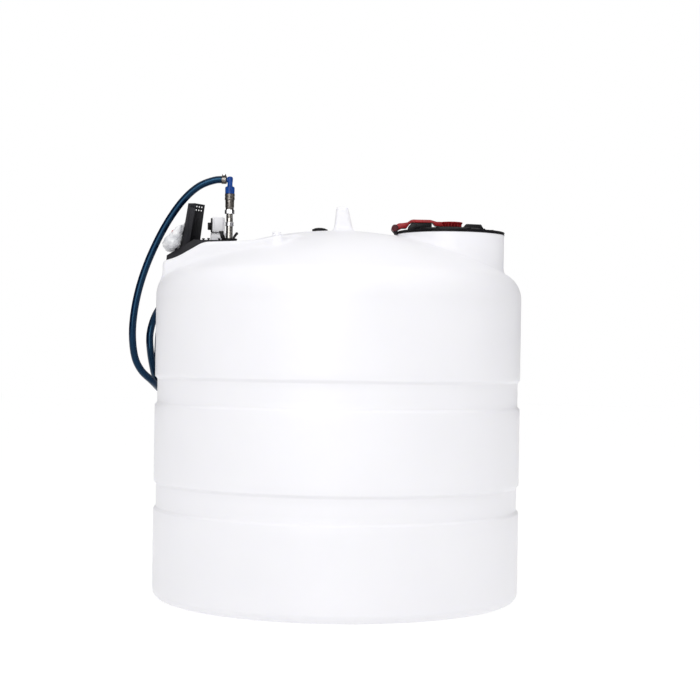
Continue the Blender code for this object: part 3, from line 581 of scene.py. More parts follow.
def tube(name, points, radius, material_name, resolution):
    """A round tube along points, as a curve."""
    curve = bpy.data.curves.new(name, "CURVE")
    curve.dimensions = "3D"
    curve.bevel_depth = radius
    curve.bevel_resolution = resolution
    curve.use_fill_caps = True
    line = curve.splines.new("POLY")
    line.points.add(len(points) - 1)
    for point, place in zip(line.points, points):
        point.co = (*place, 1.0)
    line.use_smooth = True
    curve.materials.append(materials[material_name])
    made = bpy.data.objects.new(name, curve)
    bpy.context.scene.collection.objects.link(made)
    return made


def tube_mesh(name, route, radius, material_name, spacing):
    """A round tube along a smooth route, as a closed mesh."""
    line = tube(name + "_line", smooth_line(route, spacing), radius, material_name, 3)
    bpy.context.view_layer.update()
    graph = bpy.context.evaluated_depsgraph_get()
    mesh = bpy.data.meshes.new_from_object(line.evaluated_get(graph))
    bpy.data.objects.remove(line)
    bm = bmesh.new()
    bm.from_mesh(mesh)
    bmesh.ops.remove_doubles(bm, verts=bm.verts, dist=MERGE)
    bm.to_mesh(mesh)
    bm.free()
    return as_object(name, mesh, material_name)


# Geometry Nodes trees for what repeats


def started_tree(name, inputs):
    """A tree with its named inputs, and the sockets that hand them on."""
    tree = bpy.data.node_groups.new(name, "GeometryNodeTree")
    face = tree.interface
    face.new_socket("Geometry", in_out="INPUT", socket_type="NodeSocketGeometry")
    for label, kind in {**inputs, "Material": "Material"}.items():
        face.new_socket(label, in_out="INPUT", socket_type="NodeSocket" + kind)
    face.new_socket("Geometry", in_out="OUTPUT", socket_type="NodeSocketGeometry")
    return tree, tree.nodes.new("NodeGroupInput").outputs


def ended_tree(tree, copies, given):
    """Makes the copies real, gives them their material and hands them out."""
    nodes, links = tree.nodes, tree.links
    real = nodes.new("GeometryNodeRealizeInstances")
    links.new(copies.outputs["Instances"], real.inputs["Geometry"])
    paint = nodes.new("GeometryNodeSetMaterial")
    links.new(real.outputs["Geometry"], paint.inputs["Geometry"])
    links.new(given["Material"], paint.inputs["Material"])
    result = nodes.new("NodeGroupOutput")
    links.new(paint.outputs["Geometry"], result.inputs["Geometry"])
    return tree


def circle_tree():
    """Repeats a small block or a hexagonal head around the Z axis."""
    inputs = {
        "Count": "Int",
        "Ring Radius": "Float",
        "Height": "Float",
        "Piece Size": "Vector",
        "Hexagonal": "Bool",
    }
    tree, given = started_tree("copies_on_a_circle", inputs)
    nodes, links = tree.nodes, tree.links
    ring = nodes.new("GeometryNodeMeshCircle")
    links.new(given["Count"], ring.inputs["Vertices"])
    links.new(given["Ring Radius"], ring.inputs["Radius"])
    lift = nodes.new("ShaderNodeCombineXYZ")
    links.new(given["Height"], lift.inputs["Z"])
    raised = nodes.new("GeometryNodeTransform")
    links.new(ring.outputs["Mesh"], raised.inputs["Geometry"])
    links.new(lift.outputs["Vector"], raised.inputs["Translation"])
    cube = nodes.new("GeometryNodeMeshCube")
    links.new(given["Piece Size"], cube.inputs["Size"])
    parts = nodes.new("ShaderNodeSeparateXYZ")
    links.new(given["Piece Size"], parts.inputs["Vector"])
    head = nodes.new("GeometryNodeMeshCylinder")
    head.inputs["Vertices"].default_value = 6
    links.new(parts.outputs["X"], head.inputs["Radius"])
    links.new(parts.outputs["Z"], head.inputs["Depth"])
    choice = nodes.new("GeometryNodeSwitch")
    choice.input_type = "GEOMETRY"
    links.new(given["Hexagonal"], choice.inputs["Switch"])
    links.new(cube.outputs["Mesh"], choice.inputs["False"])
    links.new(head.outputs["Mesh"], choice.inputs["True"])
    place = nodes.new("GeometryNodeInputPosition")
    level = nodes.new("ShaderNodeVectorMath")
    level.operation = "MULTIPLY"
    level.inputs[1].default_value = (1.0, 1.0, 0.0)
    links.new(place.outputs["Position"], level.inputs[0])
    aim = nodes.new("FunctionNodeAlignRotationToVector")
    aim.axis = "X"
    aim.pivot_axis = "Z"
    links.new(level.outputs["Vector"], aim.inputs["Vector"])
    copies = nodes.new("GeometryNodeInstanceOnPoints")
    links.new(raised.outputs["Geometry"], copies.inputs["Points"])
    links.new(choice.outputs["Output"], copies.inputs["Instance"])
    links.new(aim.outputs["Rotation"], copies.inputs["Rotation"])
    return ended_tree(tree, copies, given)


def row_tree():
    """Repeats a small block along a straight line, as on ribbed grips."""
    inputs = {"Count": "Int", "Start": "Vector", "Step": "Vector", "Piece Size": "Vector"}
    tree, given = started_tree("copies_in_a_row", inputs)
    nodes, links = tree.nodes, tree.links
    line = nodes.new("GeometryNodeMeshLine")
    links.new(given["Count"], line.inputs["Count"])
    links.new(given["Start"], line.inputs["Start Location"])
    links.new(given["Step"], line.inputs["Offset"])
    cube = nodes.new("GeometryNodeMeshCube")
    links.new(given["Piece Size"], cube.inputs["Size"])
    copies = nodes.new("GeometryNodeInstanceOnPoints")
    links.new(line.outputs["Mesh"], copies.inputs["Points"])
    links.new(cube.outputs["Mesh"], copies.inputs["Instance"])
    return ended_tree(tree, copies, given)


def repeated(name, tree, material_name, values, ease):
    """A plain mesh from one of the trees above, with its inputs' values by name."""
    holder = bpy.data.objects.new(name, bpy.data.meshes.new(name))
    bpy.context.scene.collection.objects.link(holder)
    modifier = holder.modifiers.new("copies", "NODES")
    modifier.node_group = tree
    values["Material"] = materials[material_name]
    for item in tree.interface.items_tree:
        if item.in_out == "INPUT" and item.name in values:
            modifier[item.identifier] = values[item.name]
    settled(holder)
    mesh = holder.data
    mesh.materials.clear()
    mesh.materials.append(materials[material_name])
    return eased(holder, ease, 1) if ease else holder


def on_circle(
    name, count, radius, height, size, material_name, place=(0, 0, 0), ease=0.0, hexagonal=False
):
    """Small blocks or hexagonal heads on a circle around an upright axis."""
    values = {
        "Count": count,
        "Ring Radius": radius,
        "Height": height,
        "Piece Size": size,
        "Hexagonal": hexagonal,
    }
    made = repeated(name, trees["circle"], material_name, values, ease)
    return placed(made, Matrix.Translation(place))


def in_row(name, count, start, step, size, material_name, ease=0.0):
    """Small blocks on a straight line."""
    values = {"Count": count, "Start": start, "Step": step, "Piece Size": size}
    return repeated(name, trees["row"], material_name, values, ease)


def finish(obj, body, slot, *nodes):
    """Gives a piece its body and hides the CAD nodes that it stands for; its slot is not used."""
    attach(obj, body)
    if nodes:
        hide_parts(*nodes)
    return obj


def assembled(name, pieces, body, slot, *nodes):
    """Several pieces as one, finished."""
    return finish(joined(name, pieces), body, slot, *nodes)


def dressed(node, material_name):
    """A CAD node that stays as it is and gets a better material."""
    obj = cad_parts[node]
    obj.data.materials.clear()
    obj.data.materials.append(materials[material_name])
    return obj


# The camera and the hose


def photograph_camera():
    data = bpy.data.cameras.new("camera")
    data.sensor_width = 36.0
    data.lens = CAMERA_LENS
    data.shift_y = CAMERA_SHIFT_Y
    camera = bpy.data.objects.new("camera", data)
    bpy.context.scene.collection.objects.link(camera)
    level = Matrix.Rotation(math.radians(90.0), 4, "X")
    camera.matrix_world = (
        Matrix.Translation(CAMERA_PLACE) @ level @ Matrix.Rotation(CAMERA_ROLL, 4, "Z")
    )
    bpy.context.scene.camera = camera


def delivery_hose():
    route = (HOSE_START, *HOSE_ROUTE, (NOZZLE_X, NOZZLE_INLET_Y + 0.0012, NOZZLE_Z))
    return tube("delivery_hose", smooth_line(route, HOSE_SPACING), HOSE_RADIUS, "blue_rubber", 6)


# The moulded tank


def smooth_min(a, b, ease):
    """The smaller of two distances, rounded where they are close."""
    near = np.maximum(ease - np.abs(a - b), 0.0) / ease
    return np.minimum(a, b) - near * near * ease / 4


def smooth_max(a, b, ease):
    """The larger of two distances, rounded where they are close."""
    return -smooth_min(-a, -b, ease)


def dome_distance(x, y, z):
    """Distance outside the plain domed tank."""
    radius = np.hypot(x, y)
    side = radius - TANK_RADIUS
    shoulder = np.hypot(radius - SHOULDER_R, z - SHOULDER_Z) - SHOULDER_RADIUS
    crown = np.hypot(radius, z - DOME_CENTRE) - DOME_RADIUS
    join = math.atan2(SHOULDER_R, SHOULDER_Z - DOME_CENTRE)
    lean = np.arctan2(radius, z - DOME_CENTRE)
    return np.where(z <= SHOULDER_Z, side, np.where(lean < join, crown, shoulder))


def plan_distance(x, y, corner):
    """Distance outside the platform's outline from above, with its corners rounded."""
    half = [np.array(point) for point in PLATFORM_PLAN]
    whole = half + [point * (1, -1) for point in reversed(half)]
    inset = []
    for i, point in enumerate(whole):
        before = point - whole[i - 1]
        after = whole[(i + 1) % len(whole)] - point
        in_before = np.array((before[1], -before[0])) / np.linalg.norm(before)
        in_after = np.array((after[1], -after[0])) / np.linalg.norm(after)
        middle = (in_before + in_after) / np.linalg.norm(in_before + in_after)
        inset.append(point + middle * corner / middle.dot(in_before))
    nearest = np.full_like(x, 9.0)
    inside = np.full_like(x, True, dtype=bool)
    for start, end in zip(inset, inset[1:] + inset[:1]):
        run = end - start
        along = ((x - start[0]) * run[0] + (y - start[1]) * run[1]) / run.dot(run)
        along = np.clip(along, 0.0, 1.0)
        gap = np.hypot(x - start[0] - run[0] * along, y - start[1] - run[1] * along)
        nearest = np.minimum(nearest, gap)
        inside &= run[0] * (y - start[1]) - run[1] * (x - start[0]) <= 0
    return np.where(inside, -nearest, nearest) - corner


def deck_height(x):
    """Height of the platform's deck at an X."""
    slope = (DECK_Z - DECK_OUTER[1]) / (DECK_BEND_X - DECK_OUTER[0])
    rise = (DECK_INNER[1] - DECK_Z) / (DECK_INNER[0] - DECK_RISE_X)
    outer = smooth_min(DECK_Z + slope * (x - DECK_BEND_X), np.full_like(x, DECK_Z), DECK_CREASE)
    return smooth_max(outer, DECK_Z + rise * (x - DECK_RISE_X), DECK_CREASE)


def lug_distance(x, y, z):
    """Distance outside the lifting lug."""
    (left_foot, foot_z), (left_top, top_z) = LUG_LEFT
    (right_foot, _), (right_top, _) = LUG_RIGHT
    share = (z - foot_z) / (top_z - foot_z)
    left = left_foot + (left_top - left_foot) * share
    right = right_foot + (right_top - right_foot) * share
    half_depth = 0.026 - 0.005 * share
    sides = smooth_max(left - x, x - right, 0.01)
    sides = smooth_max(sides, np.abs(y) - half_depth, 0.012)
    return smooth_max(sides, z - LUG_TOP, 0.012)


def tank_distance(places):
    """Distance outside the whole moulding, with its creases rounded as rotational moulding does."""
    x, y, z = places.T
    pad_centre = (PAD_X[0] + PAD_X[1]) / 2
    pad_half = (PAD_X[1] - PAD_X[0]) / 2
    pad = np.maximum(np.abs(x - pad_centre) - pad_half, np.abs(y) - PAD_HALF_WIDTH)
    pad = np.maximum(pad, DECK_Z - 0.025 - z)
    body = smooth_max(dome_distance(x, y, z), -pad, PAD_CREASE)
    over_deck = (z - deck_height(x)) * 0.92
    platform = smooth_max(plan_distance(x, y, PLATFORM_CORNER), over_deck, PLATFORM_EDGE)
    body = smooth_min(body, platform, FORM_CREASE)
    neck = np.hypot(x - NECK_X, y) - NECK_RADIUS
    body = smooth_min(body, neck, FORM_CREASE)
    return smooth_min(body, lug_distance(x, y, z), LUG_CREASE)


def settle_on_tank(places, rounds):
    """Moves points onto the moulding's surface along its slope."""
    step = 0.0004
    for _ in range(rounds):
        height = tank_distance(places)
        slope = np.empty_like(places)
        for k in range(3):
            shift = np.zeros(3)
            shift[k] = step
            slope[:, k] = tank_distance(places + shift) - tank_distance(places - shift)
        slope /= 2 * step
        length = np.maximum((slope**2).sum(axis=1), 0.25)
        places = places - slope * (height / length)[:, None]
    return places


def rough_roof():
    """The roof's main solids fused with hard edges."""
    profile = [(0.0, TANK_APEX)] + arc((0.0, DOME_CENTRE), DOME_RADIUS, 88.0, 64.0, 8)
    join = math.degrees(math.atan2(SHOULDER_Z - DOME_CENTRE, SHOULDER_R))
    profile += arc((SHOULDER_R, SHOULDER_Z), SHOULDER_RADIUS, join, 0.0, 6)
    profile += [(TANK_RADIUS, ROOF_SEAM_Z - 0.04), (0.0, ROOF_SEAM_Z - 0.04)]
    roof = turned("moulded_roof", profile, "natural_polyethylene", steps=96)
    plan = list(PLATFORM_PLAN) + [(x, -y) for x, y in reversed(PLATFORM_PLAN)]
    platform = slab("rough_platform", plan, 1.22, 1.6, "Z", "natural_polyethylene")
    slope = (DECK_Z - DECK_OUTER[1]) / (DECK_BEND_X - DECK_OUTER[0])
    rise = (DECK_INNER[1] - DECK_Z) / (DECK_INNER[0] - DECK_RISE_X)
    over = [
        (DECK_OUTER[0] - 0.1, DECK_OUTER[1] - slope * 0.1), (DECK_BEND_X, DECK_Z),
        (DECK_RISE_X, DECK_Z), (0.0, DECK_Z - rise * DECK_RISE_X), (0.0, 1.7),
        (DECK_OUTER[0] - 0.1, 1.7),
    ]
    cut(platform, slab("over_deck", over, -0.6, 0.6, "Y", "natural_polyethylene"))
    low = (PAD_X[0], -PAD_HALF_WIDTH, DECK_Z)
    cut(roof, block("over_pad", low, (PAD_X[1], PAD_HALF_WIDTH, 1.7), "natural_polyethylene"))
    low, high = (NECK_X, 0, 1.3), (NECK_X, 0, 1.6)
    neck = bar("rough_neck", low, high, NECK_RADIUS, "natural_polyethylene", 64)
    sides = [LUG_LEFT[0], LUG_LEFT[1], LUG_RIGHT[1], LUG_RIGHT[0], (0.055, 1.5), (-0.025, 1.5)]
    lug = slab("rough_lug", sides, -0.023, 0.023, "Y", "natural_polyethylene")
    return fuse(roof, platform, neck, lug)


def smooth_roof(mesh):
    """Draws the roof's mesh onto the moulding's surface and evens it out."""
    places = np.empty(len(mesh.vertices) * 3)
    mesh.vertices.foreach_get("co", places)
    places = places.reshape(-1, 3)
    inside = places[:, 2] > ROOF_SEAM_Z - 0.03
    edges = np.empty(len(mesh.edges) * 2, dtype=np.int64)
    mesh.edges.foreach_get("vertices", edges)
    edges = edges.reshape(-1, 2)
    links = np.bincount(edges.ravel(), minlength=len(places))[:, None]
    places[inside] = settle_on_tank(places[inside], 6)
    for _ in range(4):
        around = np.zeros_like(places)
        np.add.at(around, edges[:, 0], places[edges[:, 1]])
        np.add.at(around, edges[:, 1], places[edges[:, 0]])
        places = np.where(inside[:, None], places * 0.4 + around / links * 0.6, places)
        places[inside] = settle_on_tank(places[inside], 3)
    mesh.vertices.foreach_set("co", places.ravel())
    mesh.update()


def open_roof(mesh):
    """Cuts the roof off at its seam with the wall and opens the manhole's neck."""
    up = (0.0, 0.0, 1.0)
    bm = bmesh.new()
    bm.from_mesh(mesh)
    whole = bm.verts[:] + bm.edges[:] + bm.faces[:]
    seam = (0.0, 0.0, ROOF_SEAM_Z)
    bmesh.ops.bisect_plane(bm, geom=whole, plane_co=seam, plane_no=up, clear_inner=True)
    region = set()
    for face in bm.faces:
        middle = face.calc_center_median()
        if middle.z > 1.5 and math.hypot(middle.x - NECK_X, middle.y) < 0.26:
            region.update((*face.verts, *face.edges, face))
    rim = (0.0, 0.0, NECK_TOP)
    bmesh.ops.bisect_plane(bm, geom=list(region), plane_co=rim, plane_no=up, clear_outer=True)
    bm.to_mesh(mesh)
    bm.free()


def moulded_roof():
    """The domed roof with its platform, manhole neck and lug in one skin of even thickness."""
    roof = rough_roof()
    grid = roof.modifiers.new("grid", "REMESH")
    grid.mode = "VOXEL"
    grid.voxel_size = ROOF_CELL
    settled(roof)
    smooth_roof(roof.data)
    open_roof(roof.data)
    skin = roof.modifiers.new("wall", "SOLIDIFY")
    skin.thickness = WALL
    skin.offset = -1.0
    skin.use_even_offset = False
    settled(roof, 50.0)
    nodes = ("tank_roof", "equipment_platform", "manhole_neck", "lifting_lug")
    finish(roof, "tank", "polyethylene", *nodes)


def band_dip(height):
    """How far the wall is set in at a height, with the bands' edges rounded."""
    dip = 0.0
    for low, high in BANDS:
        rise = min(max((height - low) / BAND_EDGE, 0.0), 1.0)
        fall = min(max((high - height) / BAND_EDGE, 0.0), 1.0)
        share = min(rise, fall)
        dip += BAND_DEPTH * (share * share * (3 - 2 * share))
    return dip


def wall_heights():
    """Heights for the wall's rings, close together on the edges of the bands."""
    heights = {ROOF_SEAM_Z, FOOT_RADIUS}
    for low, high in BANDS:
        for edge in (low, high - BAND_EDGE):
            heights |= {round(edge + BAND_EDGE * k / 8, 5) for k in range(9)}
    plain = np.linspace(FOOT_RADIUS, ROOF_SEAM_Z, 34)
    for height in plain:
        if min(abs(height - other) for other in heights) > 0.012:
            heights.add(float(height))
    return sorted(heights, reverse=True)


def moulded_wall():
    """The banded wall and the flat bottom in one skin."""
    foot = (TANK_RADIUS - FOOT_RADIUS, FOOT_RADIUS)
    heights = wall_heights()
    outer = [(TANK_RADIUS - band_dip(z), z) for z in heights]
    outer += arc(foot, FOOT_RADIUS, 0.0, -90.0, 8)[1:]
    inner = [(TANK_RADIUS - WALL - band_dip(z), z) for z in heights]
    inner += arc(foot, FOOT_RADIUS - WALL, 0.0, -90.0, 6)[1:]
    profile = [(0.0, 0.0), (0.4, 0.0)] + outer[::-1] + inner + [(0.4, WALL), (0.0, WALL)]
    wall = turned("moulded_wall", profile, "natural_polyethylene", steps=256, angle=50.0)
    finish(wall, "tank", "polyethylene", "tank_wall", "tank_floor")


def roof_height(x, y):
    """Height of the plain dome at a place."""
    return DOME_CENTRE + math.sqrt(DOME_RADIUS**2 - x * x - y * y)


def roof_fittings():
    """The black vent with its ribbed skirt and the white plug with its knurled rim."""
    x = -0.086
    foot = roof_height(x + 0.036, 0.0) - 0.002
    vent = [
        (0.0, 1.57), (0.012, 1.5697), (0.022, 1.5678), (0.029, 1.564), (0.0318, 1.5595),
        (0.0322, foot + 0.006), (0.0328, foot + 0.004), (0.0328, foot), (0.0, foot),
    ]
    cap = turned("vent_cowl", vent, "black_plastic", place=(x, 0.0, 0.0), steps=48)
    size = (0.002, 0.0018, 0.011)
    ribs = on_circle("vent_ribs", 28, 0.0318, foot + 0.006, size, "black_plastic", (x, 0.0, 0.0))
    assembled("vent_cap_cowl", [cap, ribs], "tank", "black_moulding", "vent_cap")
    x, y = -0.273, 0.06
    foot = roof_height(x, y) - 0.006
    plug = [
        (0.0, 1.5535), (0.011, 1.5535), (0.0125, 1.552), (0.0145, 1.552), (0.016, 1.554),
        (0.018, 1.5535), (0.0192, 1.5515), (0.0192, foot), (0.0, foot),
    ]
    cap = turned("plug_body", plug, "white_plastic", place=(x, y, 0.0), steps=40)
    middle = (1.5515 + foot) / 2
    size = (0.0022, 0.0024, 0.02)
    ribs = on_circle("plug_ribs", 24, 0.0188, middle, size, "white_plastic", (x, y, 0.0))
    assembled("plug_with_rim", [cap, ribs], "tank", "white_moulding", "plug_cap")


# The manhole


def neck_collar():
    """The black ring on the neck, with the grey gasket that the lid closes on."""
    sleeve = 0.2182
    bore = 0.2122
    ring = [
        (bore + 0.001, 1.5533), (0.2258, 1.5533), (0.2268, 1.5523), (0.2268, NECK_TOP + 0.0003),
        (sleeve, NECK_TOP + 0.0003), (sleeve, 1.52), (bore, 1.5193), (bore, 1.5523),
    ]
    place = (NECK_X, 0.0, 0.0)
    collar = turned("neck_collar", ring, "black_plastic", place=place, steps=128)
    seal = [(0.215, 1.5537), (0.2215, 1.5537), (0.2215, 1.5528), (0.215, 1.5528)]
    gasket = turned("collar_gasket", seal, "gasket_rubber", place=place, steps=128)
    lip = [(0.2281, 1.549), (0.2281, 1.5462), (0.2267, 1.5458), (0.2267, 1.549)]
    bead = turned("collar_bead", lip, "black_plastic", place=place, steps=128)
    pieces = [collar, gasket, bead]
    assembled("neck_collar_ring", pieces, "tank", "black_moulding", "manhole_collar")


def manhole_lid():
    """The round lid with its stepped top, radial ribs, underside spigot and ribs."""
    profile = [
        (0.0, LID_PLATEAU_TOP - 0.0015), (0.05, LID_PLATEAU_TOP - 0.0015), (0.053, LID_PLATEAU_TOP),
        (0.096, LID_PLATEAU_TOP), (0.098, LID_PLATEAU_TOP - 0.002),
        (0.104, LID_PLATEAU_TOP - 0.002), (0.106, LID_PLATEAU_TOP), (0.136, LID_PLATEAU_TOP),
        (0.1395, LID_PLATEAU_TOP - 0.0008), (0.15, LID_RIM_TOP + 0.0012), (0.153, LID_RIM_TOP),
        (0.213, LID_RIM_TOP - 0.001), (0.216, LID_RIM_TOP), (0.2262, LID_RIM_TOP),
        (0.228, LID_RIM_TOP - 0.0014), (LID_RADIUS, LID_RIM_TOP - 0.003), (LID_RADIUS, 1.555),
        (0.2275, 1.554), (0.2, 1.554), (0.1995, 1.5415), (0.1945, 1.541), (0.1945, 1.554),
        (0.145, 1.554), (0.136, 1.5665), (0.0, 1.5665),
    ]
    place = (NECK_X, 0.0, 0.0)
    disc = turned("lid_disc_skin", profile, "black_plastic", place=place, steps=144)
    pieces = [disc]
    for name, count, radius, height, size, ease in (
        ("lid_ribs", 40, 0.183, LID_RIM_TOP - 0.0005, (0.058, 0.0026, 0.0034), 0.0006),
        ("lid_under_ribs", 16, 0.1, 1.563, (0.18, 0.003, 0.0076), 0.0),
        ("lid_rim_grip", 72, LID_RADIUS - 0.0012, 1.5565, (0.0026, 0.0046, 0.0034), 0.0),
    ):
        pieces.append(on_circle(name, count, radius, height, size, "black_plastic", place, ease))
    assembled("manhole_lid", pieces, "lid", "black_moulding", "lid_disc")


def lid_grip(name, outline, rib_start, node):
    """One moulded grip on the lid, with finger ribs along both sides."""
    points = [(NECK_X + x, z) for x, z in outline]
    body = slab(name + "_body", points, -0.026, 0.026, "Y", "black_plastic", 0.003, 3)
    pieces = [body]
    step = (0.009, 0.0, 0.0)
    size = (0.0036, 0.0052, 0.0155)
    for side in (-1, 1):
        start = (NECK_X + rib_start, side * 0.0272, LID_PLATEAU_TOP + 0.0095)
        pieces.append(in_row(name + "_ribs", 8, start, step, size, "black_plastic", 0.0008))
    assembled(name, pieces, "lid", "black_moulding", node)


def lid_grips():
    """The two grips on the lid and the ring at its middle that the arm's boss turns on."""
    deck = LID_PLATEAU_TOP + 0.0002
    rim = LID_RIM_TOP + 0.001
    far = [
        (-0.187, rim), (-0.183, 1.58), (-0.169, 1.5948), (-0.083, 1.5955), (-0.083, deck),
        (-0.151, deck), (-0.156, rim),
    ]
    near = [(0.043, deck), (0.062, 1.5935), (0.068, 1.5945), (0.127, 1.593), (0.1395, deck)]
    lid_grip("lid_grip_far", far, -0.15, "lid_grip_left")
    lid_grip("lid_grip_near", near, 0.06, "lid_grip_right")
    hub = [
        (0.0, 1.5793), (0.028, 1.5793), (0.03, 1.578), (0.03, LID_PLATEAU_TOP),
        (0.034, LID_PLATEAU_TOP - 0.001), (0.0, LID_PLATEAU_TOP - 0.001),
    ]
    boss = turned("lid_hub_ring", hub, "black_plastic", place=(NECK_X, 0.0, 0.0), steps=40)
    finish(boss, "lid", "black_moulding", "lid_hub")


def lid_arm_strap():
    """The red arm, stepped over the lid's left grip to the boss at the lid's middle."""
    outline = arc((HINGE_X, HINGE_Z), 0.0125, 90.0, 300.0, 16) + [
        (0.256, 1.569), (0.262, 1.5722), (0.28, 1.5727), (0.285, 1.5755), (0.291, 1.585),
        (0.298, 1.5935), (0.306, 1.5975), (0.3935, 1.5975), (0.4005, 1.5895), (0.405, 1.585),
        (0.415, 1.5835), (0.44, 1.5835), (0.44, 1.6015), (0.411, 1.602), (0.399, 1.6055),
        (0.385, 1.6095), (0.312, 1.61), (0.302, 1.608), (0.294, 1.6025), (0.287, 1.5975),
        (0.27, 1.5945), (0.25, 1.593),
    ]
    strap = slab("arm_strap", outline, -ARM_HALF_WIDTH, ARM_HALF_WIDTH, "Y", "red_plastic")
    hollow = [(0.32, 1.6075), (0.32, 1.613), (0.378, 1.613), (0.378, 1.6075)]
    cut(strap, slab("arm_hollow", hollow, -0.0195, 0.0195, "Y", "red_plastic"))
    room = [
        (0.0, 1.64), (0.0504, 1.64), (0.0504, 1.599), (0.0374, 1.58), (0.0374, 1.57), (0.0, 1.57),
    ]
    cut(strap, turned("boss_room", room, "red_plastic", place=(NECK_X, 0.0, 0.0), steps=64))
    eased(strap, 0.0012, 2)
    start = (0.33, 0.0, 1.6084)
    web = in_row("arm_webs", 5, start, (0.0095, 0.0, 0.0), (0.002, 0.038, 0.0022), "red_plastic")
    assembled("lid_arm_strap", [strap, web], "lid_arm", "red_moulding", "lid_arm")


def lid_arm_boss():
    """The ribbed boss at the arm's end, with its bolt and washer."""
    boss = [
        (0.0, 1.5996), (0.016, 1.5996), (0.017, 1.601), (0.0455, 1.6019), (0.0482, 1.6013),
        (0.0498, 1.599), (0.0492, 1.5972), (0.0466, 1.594), (0.0372, 1.5812), (0.0358, 1.5803),
        (0.0, 1.5803),
    ]
    place = (NECK_X, 0.0, 0.0)
    body = turned("boss_body", boss, "red_plastic", place=place, steps=64)
    size = (0.01, 0.0028, 0.015)
    ribs = on_circle("boss_ribs", 20, 0.0405, 1.589, size, "red_plastic", place, 0.0006)
    assembled("lid_arm_boss_body", [body, ribs], "lid_arm", "red_moulding", "lid_arm_boss")
    bolt = [(0.0, 1.6018), (0.0062, 1.6018), (0.0075, 1.6008), (0.0075, 1.5994), (0.0, 1.5994)]
    screw = turned("boss_bolt", bolt, "zinc_plate", place=place, steps=6, angle=20.0)
    disc = [(0.0, 1.6), (0.0118, 1.6), (0.012, 1.5995), (0.0, 1.5995)]
    washer = turned("boss_washer", disc, "zinc_plate", place=place, steps=32)
    assembled("lid_centre_bolt", [screw, washer], "lid_arm", "stainless")


def hinge_pins():
    """The maroon pin heads on both sides of the hinge, fluted for a firm grip."""
    head = [
        (0.0, 0.0483), (0.006, 0.0483), (0.0075, 0.047), (0.011, 0.047), (0.0138, 0.045),
        (0.0143, 0.043), (0.0143, 0.0385), (0.0135, 0.0374), (0.0055, 0.0374), (0.0055, 0.0254),
        (0.0, 0.0254),
    ]
    size = (0.0018, 0.0034, 0.0052)
    for side, name in ((-1, "hinge_pin_front"), (1, "hinge_pin_back")):
        body = turned(name + "_head", head, "maroon_plastic", steps=32)
        flutes = on_circle(name + "_flutes", 12, 0.0138, 0.0408, size, "maroon_plastic")
        both = joined(name + "_knob", [body, flutes])
        turn = Matrix.Rotation(math.radians(-90.0 * side), 4, "X")
        placed(both, Matrix.Translation((HINGE_X, 0.0, HINGE_Z)) @ turn)
        finish(both, "lid_arm", "dark_red_moulding", name)


def hinge_ears():
    """The black bracket on the neck whose two ears carry the arm."""
    foot, inner = 1.546, 0.246
    ear = [(inner, foot), (inner, HINGE_Z)] + arc((HINGE_X, HINGE_Z), 0.012, 30.0, 180.0, 14)
    ear += [(HINGE_X - 0.012, HINGE_Z - 0.006), (HINGE_X + 0.001, foot)]
    width = 0.0355
    low = (HINGE_X + 0.003, -width, foot + 0.0006)
    bracket = block("hinge_ears", low, (0.27, width, 1.5525), "black_plastic")
    for y in (-0.034, 0.034):
        fuse(bracket, slab("ear", ear, y - 0.003, y + 0.003, "Y", "black_plastic"))
    low, high = (NECK_X, 0, 1.5), (NECK_X, 0, 1.6)
    cut(bracket, bar("neck_side", low, high, NECK_RADIUS + 0.0003, "black_plastic", 96))
    front, back = (HINGE_X, -0.06, HINGE_Z), (HINGE_X, 0.06, HINGE_Z)
    cut(bracket, bar("pin_hole", front, back, 0.0058, "black_plastic", 24))
    eased(bracket, 0.0008, 2)
    pieces = [bracket]
    for y in (-0.02, 0.02):
        low, high = (0.2372, y, 1.5495), (0.2352, y, 1.5495)
        pieces.append(bar("bracket_screw", low, high, 0.0026, "zinc_plate", 6))
    assembled("hinge_ear_bracket", pieces, "tank", "black_moulding", "hinge_bracket")


# The equipment on the platform


def tray_height(x):
    """Height of the tray's upper surface at an X."""
    slope = (DECK_Z - DECK_OUTER[1]) / (DECK_BEND_X - DECK_OUTER[0])
    return DECK_Z + 0.0033 + min(0.0, slope * (x - DECK_BEND_X))


def base_tray():
    """The folded black tray, with its raised edges and the catch on its front edge."""
    left, right = -0.728, -0.44
    places = (left, DECK_BEND_X, right)
    floor = [(x, tray_height(x) - SHEET) for x in places]
    floor += [(x, tray_height(x)) for x in reversed(places)]
    tray = slab("tray_floor", floor, -0.12, 0.17, "Y", "black_powder_coat")
    edge = [(x, tray_height(x) - SHEET) for x in places]
    edge += [(right, 1.5035), (-0.613, 1.5035), (-0.725, 1.436)]
    for front in (-0.12, 0.167):
        fuse(tray, slab("tray_edge", edge, front, front + SHEET, "Y", "black_powder_coat"))
    eased(tray, 0.0009, 2)
    hook = [(-0.692, 1.4545), (-0.6895, 1.464), (-0.685, 1.467), (-0.68, 1.4655), (-0.679, 1.46)]
    catch = slab("tray_catch", hook, -0.1198, -0.108, "Y", "black_powder_coat", 0.0012)
    assembled("folded_tray", [tray, catch], "tank", "black_sheet", "equipment_tray")


